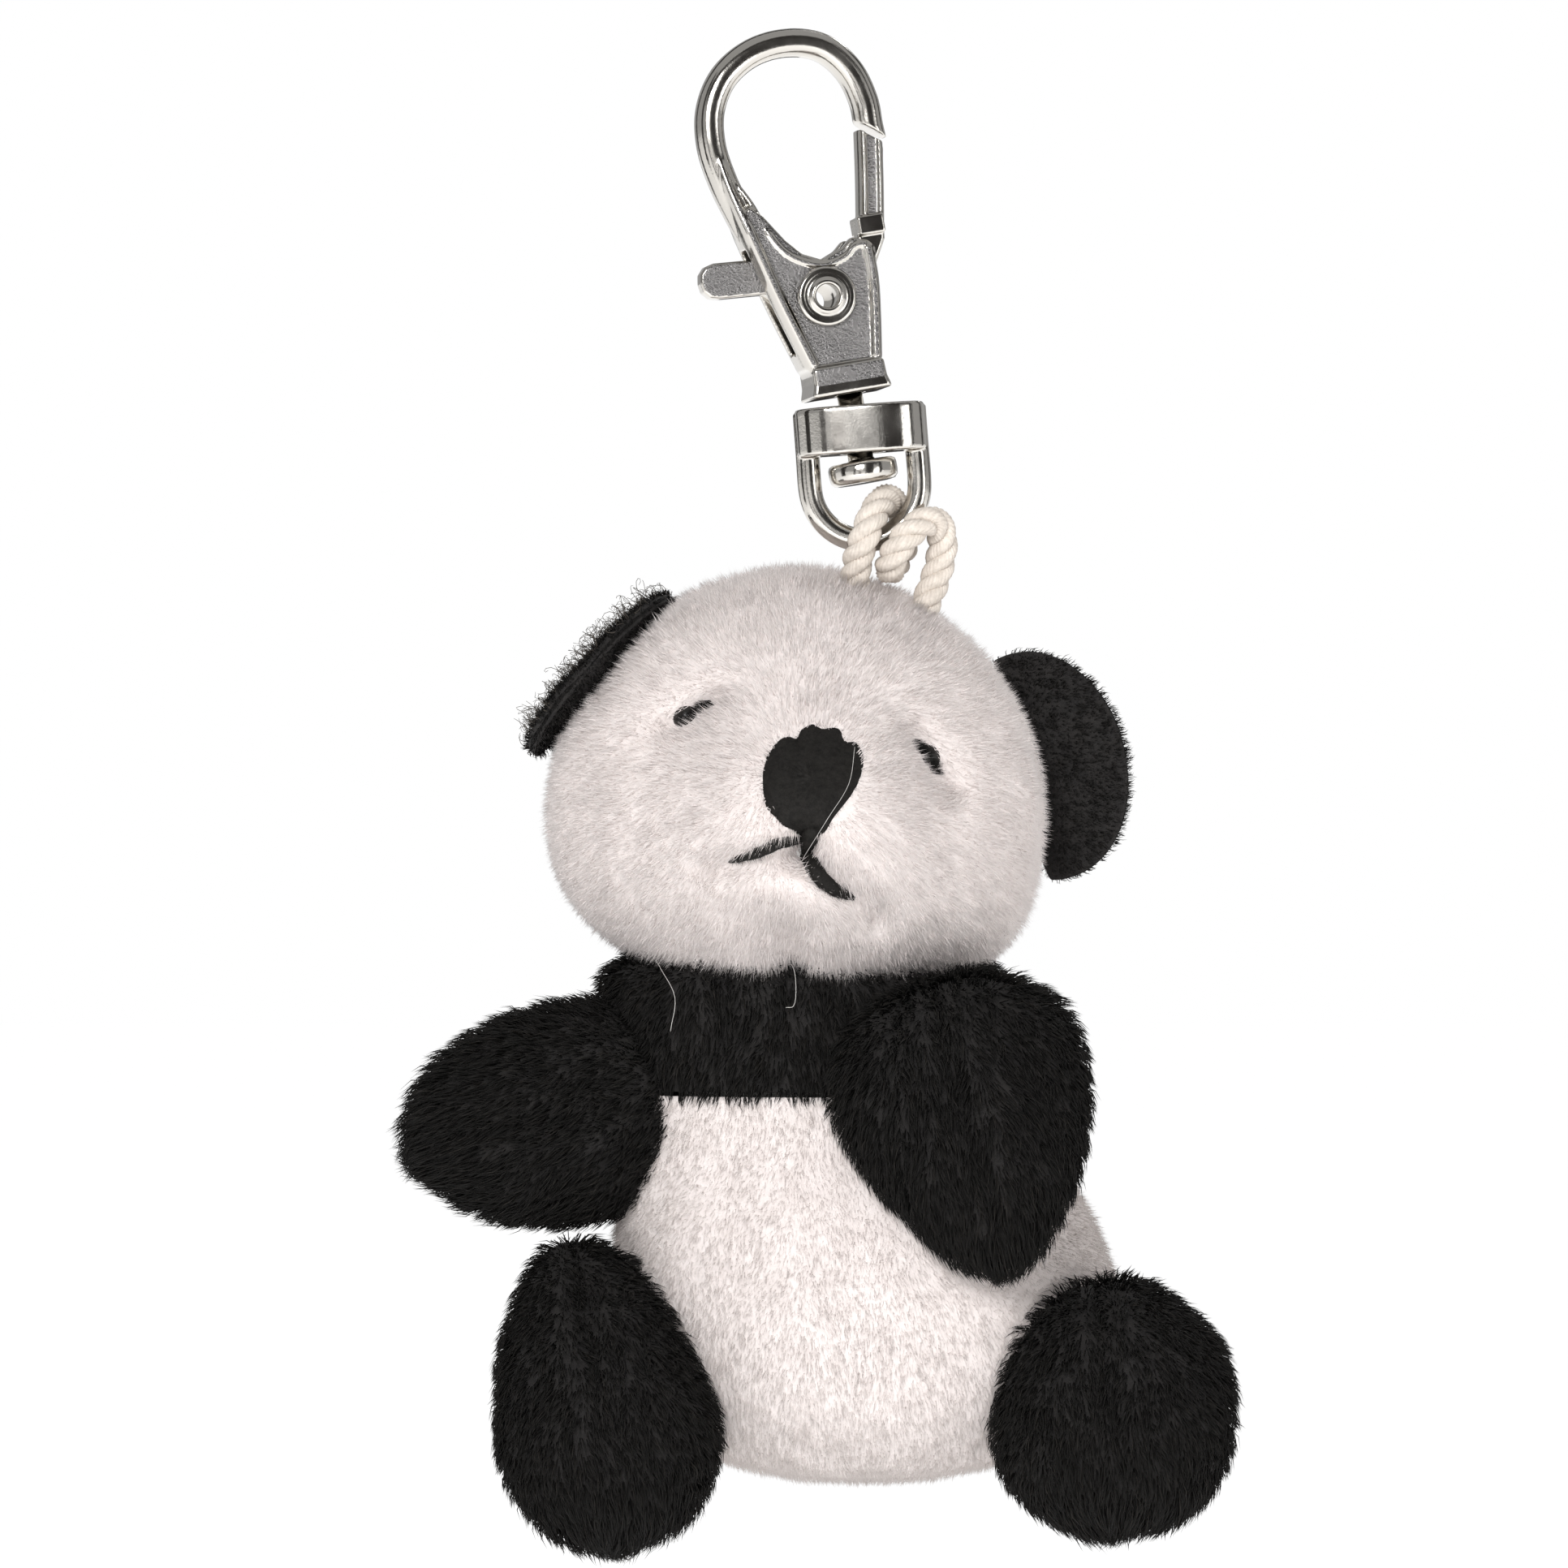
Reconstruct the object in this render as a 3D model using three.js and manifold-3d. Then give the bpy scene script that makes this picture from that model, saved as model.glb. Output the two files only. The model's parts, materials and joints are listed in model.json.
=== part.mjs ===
// A plush panda keychain: a sewn and stuffed bear on a short cord, which hangs from a swivel lobster clasp.
// Millimetres, +Z up, -Y to the front. The origin is the top of the clasp's eye, where a ring bears on it.
import * as THREE from "three";
import { mergeVertices } from "three/addons/utils/BufferGeometryUtils.js";
import Module from "manifold-3d";

const wasm = await Module();
wasm.setup();

// ---------- driving dimensions ----------
const GAP = 0.3; // between two pieces that touch
const CLASP_LEAN = 10; // degrees, the clasp leans to the left
const CLASP_TURN = 12; // degrees about its own axis
const RING_LEAN = 4.3; // degrees, the ring sits a little cocked on the stud

const BODY_DEPTH = 4.2; // clasp body, front face to back face
const SLOT_WIDTH = 1.7; // the lever's slot between the two cheeks
const LEVER_DEPTH = 1.4;
const HOOK_BAR = { width: 1.9, depth: 2.5 };
const SLOT = { top: -12.2, bottom: -19.6 }; // the lever's slot, open at both sides
const BORE_PLAY = { rivet: 0.1, lever: 0.15, stud: 0.15, spring: 0.15 }; // radial clearances
const RIVET = { x: -0.65, z: -16.16, flangeR: 2.0, flange: 0.35, shankR: 1.1, holeR: 0.72 };
const SPRING = { innerR: 1.4, outerR: 1.8, width: 0.5 };
const STUD = { x: 0.2, shankR: 0.85, headR: 2.3, head: 1.5, top: -20.2, headTop: -27.25 };
const COLLAR = { top: -20.9, width: 5.0, height: 1.3, lipWidth: 5.5, lip: 0.6 };

const RING = { x: 4.88, z: -24.7, barR: 0.8, halfWidth: 3.75, holeR: 1.45 };
const BARREL = { halfWidth: 3.55, halfDepth: 2.6, halfHeight: 1.6 };

const CORD_R = 1.0;
const CORD_STEPS = 52;

const FABRIC = 0.8; // plush backing with its matted root
const PLUSH_Y = 2.2; // the bear's middle, so that its weight hangs under the ring
const HEAD = { x: 0.9, y: PLUSH_Y, z: -48.3, halfWidth: 17.0, halfDepth: 13.2, halfHeight: 15.0, roll: 9, cheek: 0.1 };
const JOWL = 2.4; // fullness of the head below its middle, where 2 is a plain oval
const MUZZLE = { x: 0.6, z: -3.8, lift: 3.4, spread: 5.6 }; // from the head's centre, along its own axes
const NOSE = { x: 1.6, z: -48.3, halfWidth: 3.2, halfHeight: 3.5, proud: 1.0, roll: 12 };
const EYE_R = 1.1;
const EYES = { left: [-6.6, -43.9], right: [9.2, -46.5] };
const YOKE_EDGE = -68.8; // height of the black yoke's lower edge
const SIDE_SEAM_Y = PLUSH_Y + 3; // the belly and back panels meet just behind the middle

// Torso levels from the neck down: height, middle x, half width, half depth.
const TORSO = [
  [-59.4, 0.8, 10.0, 6.6],
  [-61.0, 0.8, 13.4, 9.0],
  [-66.0, 1.6, 14.8, 10.0],
  [-72.0, 3.0, 14.8, 10.6],
  [-78.0, 4.5, 16.6, 12.2],
  [-84.0, 5.4, 17.2, 13.0],
  [-89.5, 5.4, 15.2, 12.2],
  [-93.0, 5.2, 10.8, 8.8],
  [-94.4, 5.2, 5.5, 4.6],
];

// Stuffed limbs: middle, direction from the root to the tip, half length, half width, half depth,
// fullness of the tip, then the hinge at the root and its turn each way in degrees.
const LIMBS = {
  arm_left: {
    middle: [-14.3, -0.8, -70.2], along: [-0.95, -0.24, -0.16], half: [11.0, 7.4, 6.0], taper: -0.02,
    hinge: [-8.5, 0, -68.5], axis: [0, 0, 1], range: [-10, 25],
  },
  arm_right: {
    middle: [12.1, -8.6, -70.6], along: [0.26, -0.35, -0.9], half: [10.2, 8.2, 6.0], taper: -0.32,
    hinge: [14.5, -3, -65.5], axis: [-1, 0, 0], range: [-4, 30],
  },
  leg_left: {
    middle: [-12.6, -6.0, -88.6], along: [0.19, -0.4, -0.9], half: [9.9, 6.4, 6.6], taper: 0.62,
    hinge: [-8.0, 1, -85], axis: [-1, 0, 0], range: [-8, 15],
  },
  leg_right: {
    middle: [21.3, -6.0, -89.2], along: [0.1, -0.4, -0.91], half: [8.7, 8.3, 7.5], taper: 0.06,
    hinge: [17.0, 1, -85], axis: [-1, 0, 0], range: [-8, 15],
  },
};

// Ears: middle of the root, direction along the root, direction to the rim, half length, height.
// They fold about the root by the angles in range.
const EARS = {
  ear_left: {
    hinge: [-12.2, 2.6, -41.2], axis: [0.67, 0, 0.74], rise: [-0.28, -0.94, 0.2], half: 7.6, height: 8.0,
    range: [-20, 10],
  },
  ear_right: {
    hinge: [17.0, 6.8, -47.1], axis: [0.25, 0, -0.97], rise: [0.95, -0.24, 0.1], half: 8.2, height: 6.3,
    range: [-15, 20],
  },
};
const EAR_LAYER = 1.0;

// ---------- helpers ----------
const DEG = Math.PI / 180;
const V = (x, y, z) => new THREE.Vector3(x, y, z);

// A closed geometry as a manifold-3d solid.
function solidOf(geometry) {
  const bare = geometry.clone();
  for (const name of Object.keys(bare.attributes)) if (name !== "position") bare.deleteAttribute(name);
  const merged = mergeVertices(bare, 1e-4);
  return new wasm.Manifold(
    new wasm.Mesh({
      numProp: 3,
      vertProperties: new Float32Array(merged.attributes.position.array),
      triVerts: new Uint32Array(merged.index.array),
    }),
  );
}

function geometryOf(solid) {
  const mesh = solid.getMesh();
  const geometry = new THREE.BufferGeometry();
  geometry.setAttribute("position", new THREE.BufferAttribute(new Float32Array(mesh.vertProperties), 3));
  geometry.setIndex(new THREE.BufferAttribute(new Uint32Array(mesh.triVerts), 1));
  return geometry;
}

const join = (...geometries) => geometryOf(geometries.map(solidOf).reduce((a, b) => a.add(b)));
const cut = (base, ...tools) => geometryOf(tools.map(solidOf).reduce((a, b) => a.subtract(b), solidOf(base)));
const overlap = (a, b) => geometryOf(solidOf(a).intersect(solidOf(b)));

const box = (w, d, h, x = 0, y = 0, z = 0) => new THREE.BoxGeometry(w, d, h).translate(x, y, z);

// A cylinder whose axis lies along Y or Z.
function rod(radius, length, axis, x, y, z, sides = 24) {
  const geometry = new THREE.CylinderGeometry(radius, radius, length, sides);
  if (axis === "z") geometry.rotateX(Math.PI / 2);
  return geometry.translate(x, y, z);
}

// A turned piece about Z from [radius, height] pairs.
function turned(profile, sides = 28) {
  return new THREE.LatheGeometry(profile.map(([r, z]) => new THREE.Vector2(r, z)), sides).rotateX(Math.PI / 2);
}

// A plate cut to an outline in X and Z, centred on y = 0.
function plate(outline, depth, bevel = 0) {
  const shape = new THREE.Shape(outline.map(([x, z]) => new THREE.Vector2(x, z)));
  const geometry = new THREE.ExtrudeGeometry(shape, {
    depth: depth - 2 * bevel,
    bevelEnabled: bevel > 0,
    bevelThickness: bevel,
    bevelSize: bevel,
    bevelOffset: -bevel,
    bevelSegments: 1,
  });
  return geometry.translate(0, 0, bevel - depth / 2).rotateX(Math.PI / 2);
}

// A bar of oval section along a smooth curve.
function bar(points, halfWidth, halfDepth, steps, sides = 12) {
  const section = Array.from({ length: sides }, (_, i) => {
    const a = (2 * Math.PI * i) / sides;
    return new THREE.Vector2(halfDepth * Math.cos(a), halfWidth * Math.sin(a));
  });
  const path = new THREE.CatmullRomCurve3(points, false, "centripetal");
  return new THREE.ExtrudeGeometry(new THREE.Shape(section), { steps, extrudePath: path, bevelEnabled: false });
}

function mesh(name, geometry, material) {
  const made = new THREE.Mesh(geometry, material);
  made.name = name;
  return made;
}

// ---------- materials ----------
const look = (color, roughness, metalness = 0) => new THREE.MeshStandardMaterial({ color, roughness, metalness });
const nickel = look(0xc9c5bf, 0.22, 1);
const springSteel = look(0x9a9a9a, 0.35, 1);
const creamCord = look(0xe6dfd2, 0.85);
const whitePlush = look(0xe0d8d6, 0.95);
const blackPlush = look(0x1e1c1a, 0.95);
const filling = look(0xf4f2ee, 1);
const blackYarn = look(0x15161a, 0.7);
const blackBead = look(0x101010, 0.15);

// ---------- clasp ----------
// In its own frame the clasp stands straight, with the stud's axis along Z.
const hookPath = [
  [4.65, -5.3], [4.62, -3.6], [3.95, -1.4], [2.4, 0.35], [0.2, 1.02], [-2.3, 0.75],
  [-4.5, -0.55], [-5.8, -2.6], [-6.15, -4.9], [-5.8, -7.4], [-5.05, -9.9], [-4.2, -12.4],
].map(([x, z]) => V(x, 0, z));

const bodyOutline = [
  [-5.5, -10.4], [-4.0, -16.1], [-2.45, -21.2], [2.35, -21.2], [3.3, -13.4], [2.9, -12.9], [1.8, -12.5],
  [1.1, -13.1], [-0.4, -13.7], [-1.7, -13.1], [-2.7, -12.0], [-3.9, -9.6], [-4.8, -8.6],
];

const leverOutline = [
  [3.95, -5.75], [5.3, -6.75], [4.5, -11.3], [4.3, -12.9], [3.0, -15.2], [1.3, -17.2], [-0.6, -18.1],
  [-2.5, -17.2], [-4.4, -15.4], [-7.9, -15.0], [-8.5, -14.4], [-8.5, -13.4], [-7.8, -12.8], [-4.6, -12.9],
  [-2.6, -14.0], [0.6, -14.3], [2.2, -13.2], [2.75, -11.8],
];

function hookBody() {
  const barShape = bar(hookPath, HOOK_BAR.width / 2, HOOK_BAR.depth / 2, 48);
  const cheeks = plate(bodyOutline, BODY_DEPTH, 0.3);
  const collarTop = COLLAR.top - COLLAR.height / 2;
  const lipZ = COLLAR.top - COLLAR.height - COLLAR.lip / 2;
  const collar = box(COLLAR.width, BODY_DEPTH, COLLAR.height + 0.2, 0, 0, collarTop);
  const lip = box(COLLAR.lipWidth, BODY_DEPTH + 0.5, COLLAR.lip, 0, 0, lipZ);
  const slot = box(12, SLOT_WIDTH, SLOT.top - SLOT.bottom, 0, 0, (SLOT.top + SLOT.bottom) / 2);
  const rivetBore = rod(RIVET.shankR + BORE_PLAY.rivet, 2 * BODY_DEPTH, "y", RIVET.x, 0, RIVET.z);
  const studBore = rod(STUD.shankR + BORE_PLAY.stud, 2 * (SLOT.bottom - lipZ), "z", STUD.x, 0, lipZ);
  return cut(join(barShape, cheeks, collar, lip), slot, rivetBore, studBore);
}

function gateLever() {
  const blank = plate(leverOutline, LEVER_DEPTH, 0.15);
  const pocketY = -LEVER_DEPTH / 2 - 0.05;
  const rivetBore = rod(RIVET.shankR + BORE_PLAY.lever, 2 * BODY_DEPTH, "y", RIVET.x, 0, RIVET.z);
  const springPocket = rod(SPRING.outerR + BORE_PLAY.spring, LEVER_DEPTH, "y", RIVET.x, pocketY, RIVET.z);
  return cut(blank, rivetBore, springPocket);
}

function pivotRivet() {
  const face = BODY_DEPTH / 2 + 0.12;
  const { holeR, shankR, flangeR, flange } = RIVET;
  const half = [[shankR, face], [flangeR, face], [flangeR - 0.15, face + flange], [holeR, face + flange + 0.1]];
  const outside = half.map(([r, z]) => [r, z]);
  const other = half.map(([r, z]) => [r, -z]).reverse();
  return turned([...other, ...outside, other[0]]).rotateX(-Math.PI / 2).translate(RIVET.x, 0, RIVET.z);
}

function gateSpring() {
  const { innerR, outerR, width } = SPRING;
  const section = [[innerR, 0], [outerR, 0], [outerR, width], [innerR, width], [innerR, 0]];
  return turned(section).rotateX(-Math.PI / 2).translate(RIVET.x, -LEVER_DEPTH / 2 + 0.02, RIVET.z);
}

function swivelStud() {
  const { shankR, headR, head, top, headTop } = STUD;
  const profile = [
    [0, headTop - head], [headR - 0.35, headTop - head], [headR, headTop - head + 0.35],
    [headR, headTop - 0.3], [headR - 0.3, headTop], [shankR, headTop], [shankR, top], [0, top],
  ];
  return turned(profile).translate(STUD.x, 0, 0);
}

const clasp = new THREE.Group();
clasp.rotation.set(0, -CLASP_LEAN * DEG, CLASP_TURN * DEG, "YZX");
clasp.add(
  mesh("hook_body", hookBody(), nickel),
  mesh("gate_lever", gateLever(), nickel),
  mesh("pivot_rivet", pivotRivet(), nickel),
  mesh("gate_spring", gateSpring(), springSteel),
  mesh("swivel_stud", swivelStud(), nickel),
);

// ---------- swivel ring ----------
const arcZ = -RING.halfWidth; // the ring's lower half circle is centred here, below the barrel's middle

function swivelRing() {
  const arms = [V(-RING.halfWidth, 0, 1.2), V(-RING.halfWidth, 0, -1.6)];
  for (let i = 0; i <= 10; i += 1) {
    const a = Math.PI * (1 + i / 10);
    arms.push(V(RING.halfWidth * Math.cos(a), 0, arcZ + RING.halfWidth * Math.sin(a)));
  }
  arms.push(V(RING.halfWidth, 0, -1.6), V(RING.halfWidth, 0, 1.2));
  const bow = bar(arms, RING.barR, RING.barR, 44, 10);
  const { halfWidth, halfDepth, halfHeight } = BARREL;
  const barrel = rod(1, 2 * halfHeight, "z", 0, 0, 0, 32).scale(halfWidth, halfDepth, 1);
  return cut(join(bow, barrel), rod(RING.holeR, 8, "z", 0, 0, 0));
}

const ring = new THREE.Group();
ring.position.set(RING.x, 0, RING.z);
ring.rotation.y = -RING_LEAN * DEG;
ring.add(mesh("swivel_ring", swivelRing(), nickel));

// ---------- cord ----------
// From the crown up in front of the ring, over and behind it, once round its bar, and back down to the crown.
const cordRoute = [
  [4.6, 0.0, -39.6], [4.5, -0.4, -37.0], [4.5, -0.8, -34.7], [4.68, -1.5, -33.3], [5.1, -2.1, -32.0],
  [5.6, -1.85, -30.7], [6.15, -0.95, -29.75], [6.7, 0.35, -29.35], [7.35, 1.6, -29.85], [7.9, 2.1, -31.0],
  [7.75, 1.8, -32.35], [7.1, 0.85, -33.7], [6.8, -0.5, -34.0], [7.05, -1.75, -33.15], [7.85, -2.15, -31.95],
  [8.85, -2.05, -31.05], [9.75, -1.4, -30.85], [10.3, -0.5, -31.8], [10.25, 0.0, -33.2],
  [9.9, 0.1, -34.6], [9.4, 0.0, -35.9], [8.8, 0.0, -37.5], [8.2, 0.0, -39.6],
].map(([x, y, z]) => V(x, y, z));
const cordTube = (radius) => bar(cordRoute, radius, radius, CORD_STEPS, 8);

// ---------- plush forms ----------
const headToWorld = new THREE.Matrix4()
  .makeTranslation(HEAD.x, HEAD.y, HEAD.z)
  .multiply(new THREE.Matrix4().makeRotationY(HEAD.roll * DEG));
const worldToHead = headToWorld.clone().invert();

// How far the muzzle stands out at a place on the face, in the head's own frame.
function muzzle(x, z) {
  const dx = x - MUZZLE.x;
  const dz = z - MUZZLE.z;
  return MUZZLE.lift * Math.exp(-(dx * dx + dz * dz) / (2 * MUZZLE.spread ** 2));
}

// The head's outer form, grown by an offset: full jowls, a narrower crown and a muzzle in front.
function headForm(grow, segments = 20) {
  const geometry = new THREE.SphereGeometry(1, segments, Math.round(segments * 0.6)).rotateX(Math.PI / 2);
  const place = geometry.attributes.position;
  for (let i = 0; i < place.count; i += 1) {
    const [u, v, w] = [place.getX(i), place.getY(i), place.getZ(i)];
    const power = w < 0 ? JOWL : 2;
    const full = ((u * u + v * v) ** (power / 2) + Math.abs(w) ** power) ** (-1 / power);
    const x = (HEAD.halfWidth + grow) * full * u * (1 - HEAD.cheek * w);
    const z = (HEAD.halfHeight + grow) * full * w;
    const y = (HEAD.halfDepth + grow) * full * v - (v < 0 ? muzzle(x, z) * Math.sqrt(-v) : 0);
    place.setXYZ(i, x, y, z);
  }
  return geometry.applyMatrix4(headToWorld);
}

// The depth of the face at a place in the world.
function faceY(x, z, grow = 0) {
  const p = V(x, 0, z).applyMatrix4(worldToHead);
  const w = p.z / (HEAD.halfHeight + grow);
  const u = p.x / ((HEAD.halfWidth + grow) * (1 - HEAD.cheek * w));
  const power = w < 0 ? JOWL : 2;
  const v = Math.sqrt(Math.max(0.01, (1 - Math.abs(w) ** power) ** (2 / power) - u * u));
  return HEAD.y - (HEAD.halfDepth + grow) * v - muzzle(p.x, p.z) * Math.sqrt(v);
}

// The torso's outer form: ovals stacked on a smooth line from the neck to the seat.
function torsoForm(grow, rings = 10, sides = 20) {
  const level = new THREE.CatmullRomCurve3(TORSO.map(([z, x, a]) => V(z, x, a)), false, "centripetal");
  const depth = new THREE.CatmullRomCurve3(TORSO.map(([z, x, , d]) => V(z, x, d)), false, "centripetal");
  const positions = [];
  const index = [];
  const first = TORSO[0];
  const last = TORSO[TORSO.length - 1];
  const middleZ = (first[0] + last[0]) / 2;
  const stretch = 1 + grow / (middleZ - last[0]);
  const height = (z) => middleZ + (z - middleZ) * stretch;
  for (let i = 0; i <= rings; i += 1) {
    const at = level.getPoint(i / rings);
    const d = depth.getPoint(i / rings).z;
    for (let j = 0; j < sides; j += 1) {
      const a = (2 * Math.PI * j) / sides;
      positions.push(at.y + (at.z + grow) * Math.cos(a), PLUSH_Y + (d + grow) * Math.sin(a), height(at.x));
    }
  }
  for (let i = 0; i < rings; i += 1)
    for (let j = 0; j < sides; j += 1) {
      const [a, b] = [i * sides + j, i * sides + ((j + 1) % sides)];
      index.push(a, a + sides, b, b, a + sides, b + sides);
    }
  const top = positions.length / 3;
  positions.push(first[1], PLUSH_Y, height(first[0] + 0.5), last[1], PLUSH_Y, height(last[0] - 0.5));
  for (let j = 0; j < sides; j += 1) {
    const k = (j + 1) % sides;
    index.push(top, j, k, top + 1, rings * sides + k, rings * sides + j);
  }
  const geometry = new THREE.BufferGeometry();
  geometry.setAttribute("position", new THREE.BufferAttribute(new Float32Array(positions), 3));
  geometry.setIndex(index);
  return geometry;
}

// A limb's outer form: an egg along its own axis.
function limbForm(limb, grow, segments = 14) {
  const along = V(...limb.along).normalize();
  const side = V(0, 1, 0).cross(along).normalize();
  const front = along.clone().cross(side);
  const geometry = new THREE.SphereGeometry(1, segments, Math.round(segments * 0.65)).rotateX(Math.PI / 2);
  const place = geometry.attributes.position;
  for (let i = 0; i < place.count; i += 1) {
    const w = place.getZ(i);
    const full = 1 + limb.taper * w;
    const p = V(...limb.middle)
      .addScaledVector(side, (limb.half[1] + grow) * full * place.getX(i))
      .addScaledVector(front, (limb.half[2] + grow) * full * place.getY(i))
      .addScaledVector(along, (limb.half[0] + grow) * w);
    place.setXYZ(i, p.x, p.y, p.z);
  }
  return geometry;
}

// What a limb or an ear must stay clear of, turned back through its own range.
function swept(obstacle, limb) {
  const copies = [limb.range[0], 0, limb.range[1]].map((angle) => {
    const turn = new THREE.Matrix4().makeRotationAxis(V(...limb.axis), -angle * DEG);
    const there = new THREE.Matrix4().makeTranslation(...limb.hinge);
    const back = there.clone().invert();
    return obstacle.clone().applyMatrix4(there.multiply(turn).multiply(back));
  });
  return copies.map(solidOf).reduce((a, b) => a.add(b));
}

// ---------- head ----------
const plush = new THREE.Group();
const half = (sign, y) => box(80, 60, 80, HEAD.x, y + sign * 30, HEAD.z);
const cordChannel = cordTube(CORD_R + GAP);
const eyePlaces = Object.entries(EYES).map(([side, [x, z]]) => [side, x, faceY(x, z) + 0.35, z]);
const eyeSockets = eyePlaces.map(([, x, y, z]) => new THREE.SphereGeometry(EYE_R + GAP, 10, 6).translate(x, y, z));

const headShell = cut(headForm(0, 28), headForm(-FABRIC), cordChannel, ...eyeSockets);
plush.add(
  mesh("head_front", overlap(headShell, half(-1, HEAD.y - GAP / 2)), whitePlush),
  mesh("head_back", overlap(headShell, half(1, HEAD.y + GAP / 2)), whitePlush),
  mesh("head_stuffing", cut(headForm(-FABRIC - GAP), cordChannel, ...eyeSockets), filling),
);
for (const [side, x, y, z] of eyePlaces) {
  plush.add(mesh("eye_" + side, new THREE.SphereGeometry(EYE_R, 10, 8).translate(x, y, z), blackBead));
}

// A pad of stitches that follows the face: thickness t above it at each place of a closed outline.
function facePad(outline, proud) {
  const middle = outline.reduce((sum, [x, z]) => [sum[0] + x / outline.length, sum[1] + z / outline.length], [0, 0]);
  const positions = [];
  const index = [];
  const n = outline.length;
  for (const lift of [0.12, proud])
    for (const [x, z] of outline) positions.push(x, faceY(x, z) - lift, z);
  for (const lift of [0.12, proud]) positions.push(middle[0], faceY(...middle) - lift - 0.1, middle[1]);
  for (let i = 0; i < n; i += 1) {
    const k = (i + 1) % n;
    index.push(i, k, n + k, i, n + k, n + i, 2 * n, k, i, 2 * n + 1, n + i, n + k);
  }
  const geometry = new THREE.BufferGeometry();
  geometry.setAttribute("position", new THREE.BufferAttribute(new Float32Array(positions), 3));
  geometry.setIndex(index);
  return geometry;
}

const ovalOutline = ({ x, z, halfWidth, halfHeight, roll }) =>
  Array.from({ length: 20 }, (_, i) => {
    const a = (2 * Math.PI * i) / 20;
    const [u, w] = [halfWidth * Math.cos(a), halfHeight * Math.sin(a)];
    const r = -roll * DEG;
    return [x + u * Math.cos(r) - w * Math.sin(r), z + u * Math.sin(r) + w * Math.cos(r)];
  });

// A single straight stitch from one place on the face to another.
function stitchOutline(x0, z0, x1, z1, width) {
  const run = new THREE.Vector2(x1 - x0, z1 - z0);
  const side = new THREE.Vector2(-run.y, run.x).setLength(width / 2);
  const steps = 4;
  const near = [];
  const far = [];
  for (let i = 0; i <= steps; i += 1) {
    const full = Math.sin(Math.PI * (0.2 + (0.6 * i) / steps));
    const [x, z] = [x0 + (run.x * i) / steps, z0 + (run.y * i) / steps];
    near.push([x + side.x * full, z + side.y * full]);
    far.unshift([x - side.x * full, z - side.y * full]);
  }
  return [...far, ...near].reverse();
}

plush.add(
  mesh("nose_stitching", facePad(ovalOutline(NOSE), NOSE.proud), blackYarn),
  mesh("mouth_stitch_middle", facePad(stitchOutline(1.3, -52.2, 0.9, -53.0, 0.9), 0.6), blackYarn),
  mesh("mouth_stitch_left", facePad(stitchOutline(0.4, -52.6, -3.9, -53.4, 0.7), 0.6), blackYarn),
  mesh("mouth_stitch_right", facePad(stitchOutline(1.5, -53.1, 4.4, -56.0, 0.9), 0.6), blackYarn),
);

// ---------- ears ----------
function earLayer(ear, from, to) {
  const along = V(...ear.axis).normalize();
  const rise = V(...ear.rise).addScaledVector(along, -V(...ear.rise).dot(along)).normalize();
  const through = along.clone().cross(rise);
  const outline = Array.from({ length: 15 }, (_, i) => {
    const a = (Math.PI * i) / 14;
    return new THREE.Vector2(ear.half * Math.cos(a), ear.height * Math.sin(a));
  });
  const geometry = new THREE.ExtrudeGeometry(new THREE.Shape(outline), { depth: to - from, bevelEnabled: false });
  geometry.translate(0, 0, from);
  return geometry.applyMatrix4(new THREE.Matrix4().makeBasis(along, rise, through).setPosition(...ear.hinge));
}

const headRoom = headForm(GAP + 0.3, 18);
for (const [name, ear] of Object.entries(EARS)) {
  const room = swept(headRoom, ear);
  const front = solidOf(earLayer(ear, GAP / 2, GAP / 2 + EAR_LAYER)).subtract(room);
  const back = solidOf(earLayer(ear, -GAP / 2 - EAR_LAYER, -GAP / 2)).subtract(room);
  plush.add(
    mesh(name + "_front", geometryOf(front), blackPlush),
    mesh(name + "_back", geometryOf(back), blackPlush),
  );
}

// ---------- torso ----------
const slab = (top, bottom) => box(80, 80, top - bottom, 0, 0, (top + bottom) / 2);
const headFit = headForm(GAP + 0.2, 24);
const torsoShell = cut(torsoForm(0, 14, 26), torsoForm(-FABRIC), headFit);
const lower = overlap(torsoShell, slab(YOKE_EDGE - GAP / 2, -120));
plush.add(
  mesh("shoulder_yoke", overlap(torsoShell, slab(-40, YOKE_EDGE + GAP / 2)), blackPlush),
  mesh("belly_panel", overlap(lower, half(-1, SIDE_SEAM_Y - GAP / 2).translate(0, 0, -40)), whitePlush),
  mesh("back_panel", overlap(lower, half(1, SIDE_SEAM_Y + GAP / 2).translate(0, 0, -40)), whitePlush),
  mesh("torso_stuffing", cut(torsoForm(-FABRIC - GAP), headFit), filling),
);

// ---------- limbs ----------
const torsoClear = torsoForm(GAP + 0.45, 8, 16);
for (const [name, limb] of Object.entries(LIMBS)) {
  const room = swept(torsoClear, limb).add(swept(headRoom, limb));
  const outer = solidOf(limbForm(limb, 0, 20)).subtract(room);
  const skin = outer.subtract(solidOf(limbForm(limb, -FABRIC)));
  const core = solidOf(limbForm(limb, -FABRIC - GAP)).subtract(room);
  plush.add(
    mesh(name + "_skin", geometryOf(skin), blackPlush),
    mesh(name + "_stuffing", geometryOf(core), filling),
  );
}

const keychain = new THREE.Group();
keychain.add(clasp, ring, mesh("cord_loop", cordTube(CORD_R), creamCord), plush);

export default keychain;
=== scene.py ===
"""A plush panda keychain on a swivel lobster clasp: the looks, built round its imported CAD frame.

Shapes are worked out in millimetres, in the frame's own axes (+Z up, -Y to the bear's front), and become
metres as each mesh is made. Every fibre of the pile is a closed, tapered solid.
"""
import json
import math

import bmesh
import bpy
import numpy as np
from mathutils import Matrix, Vector


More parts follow.
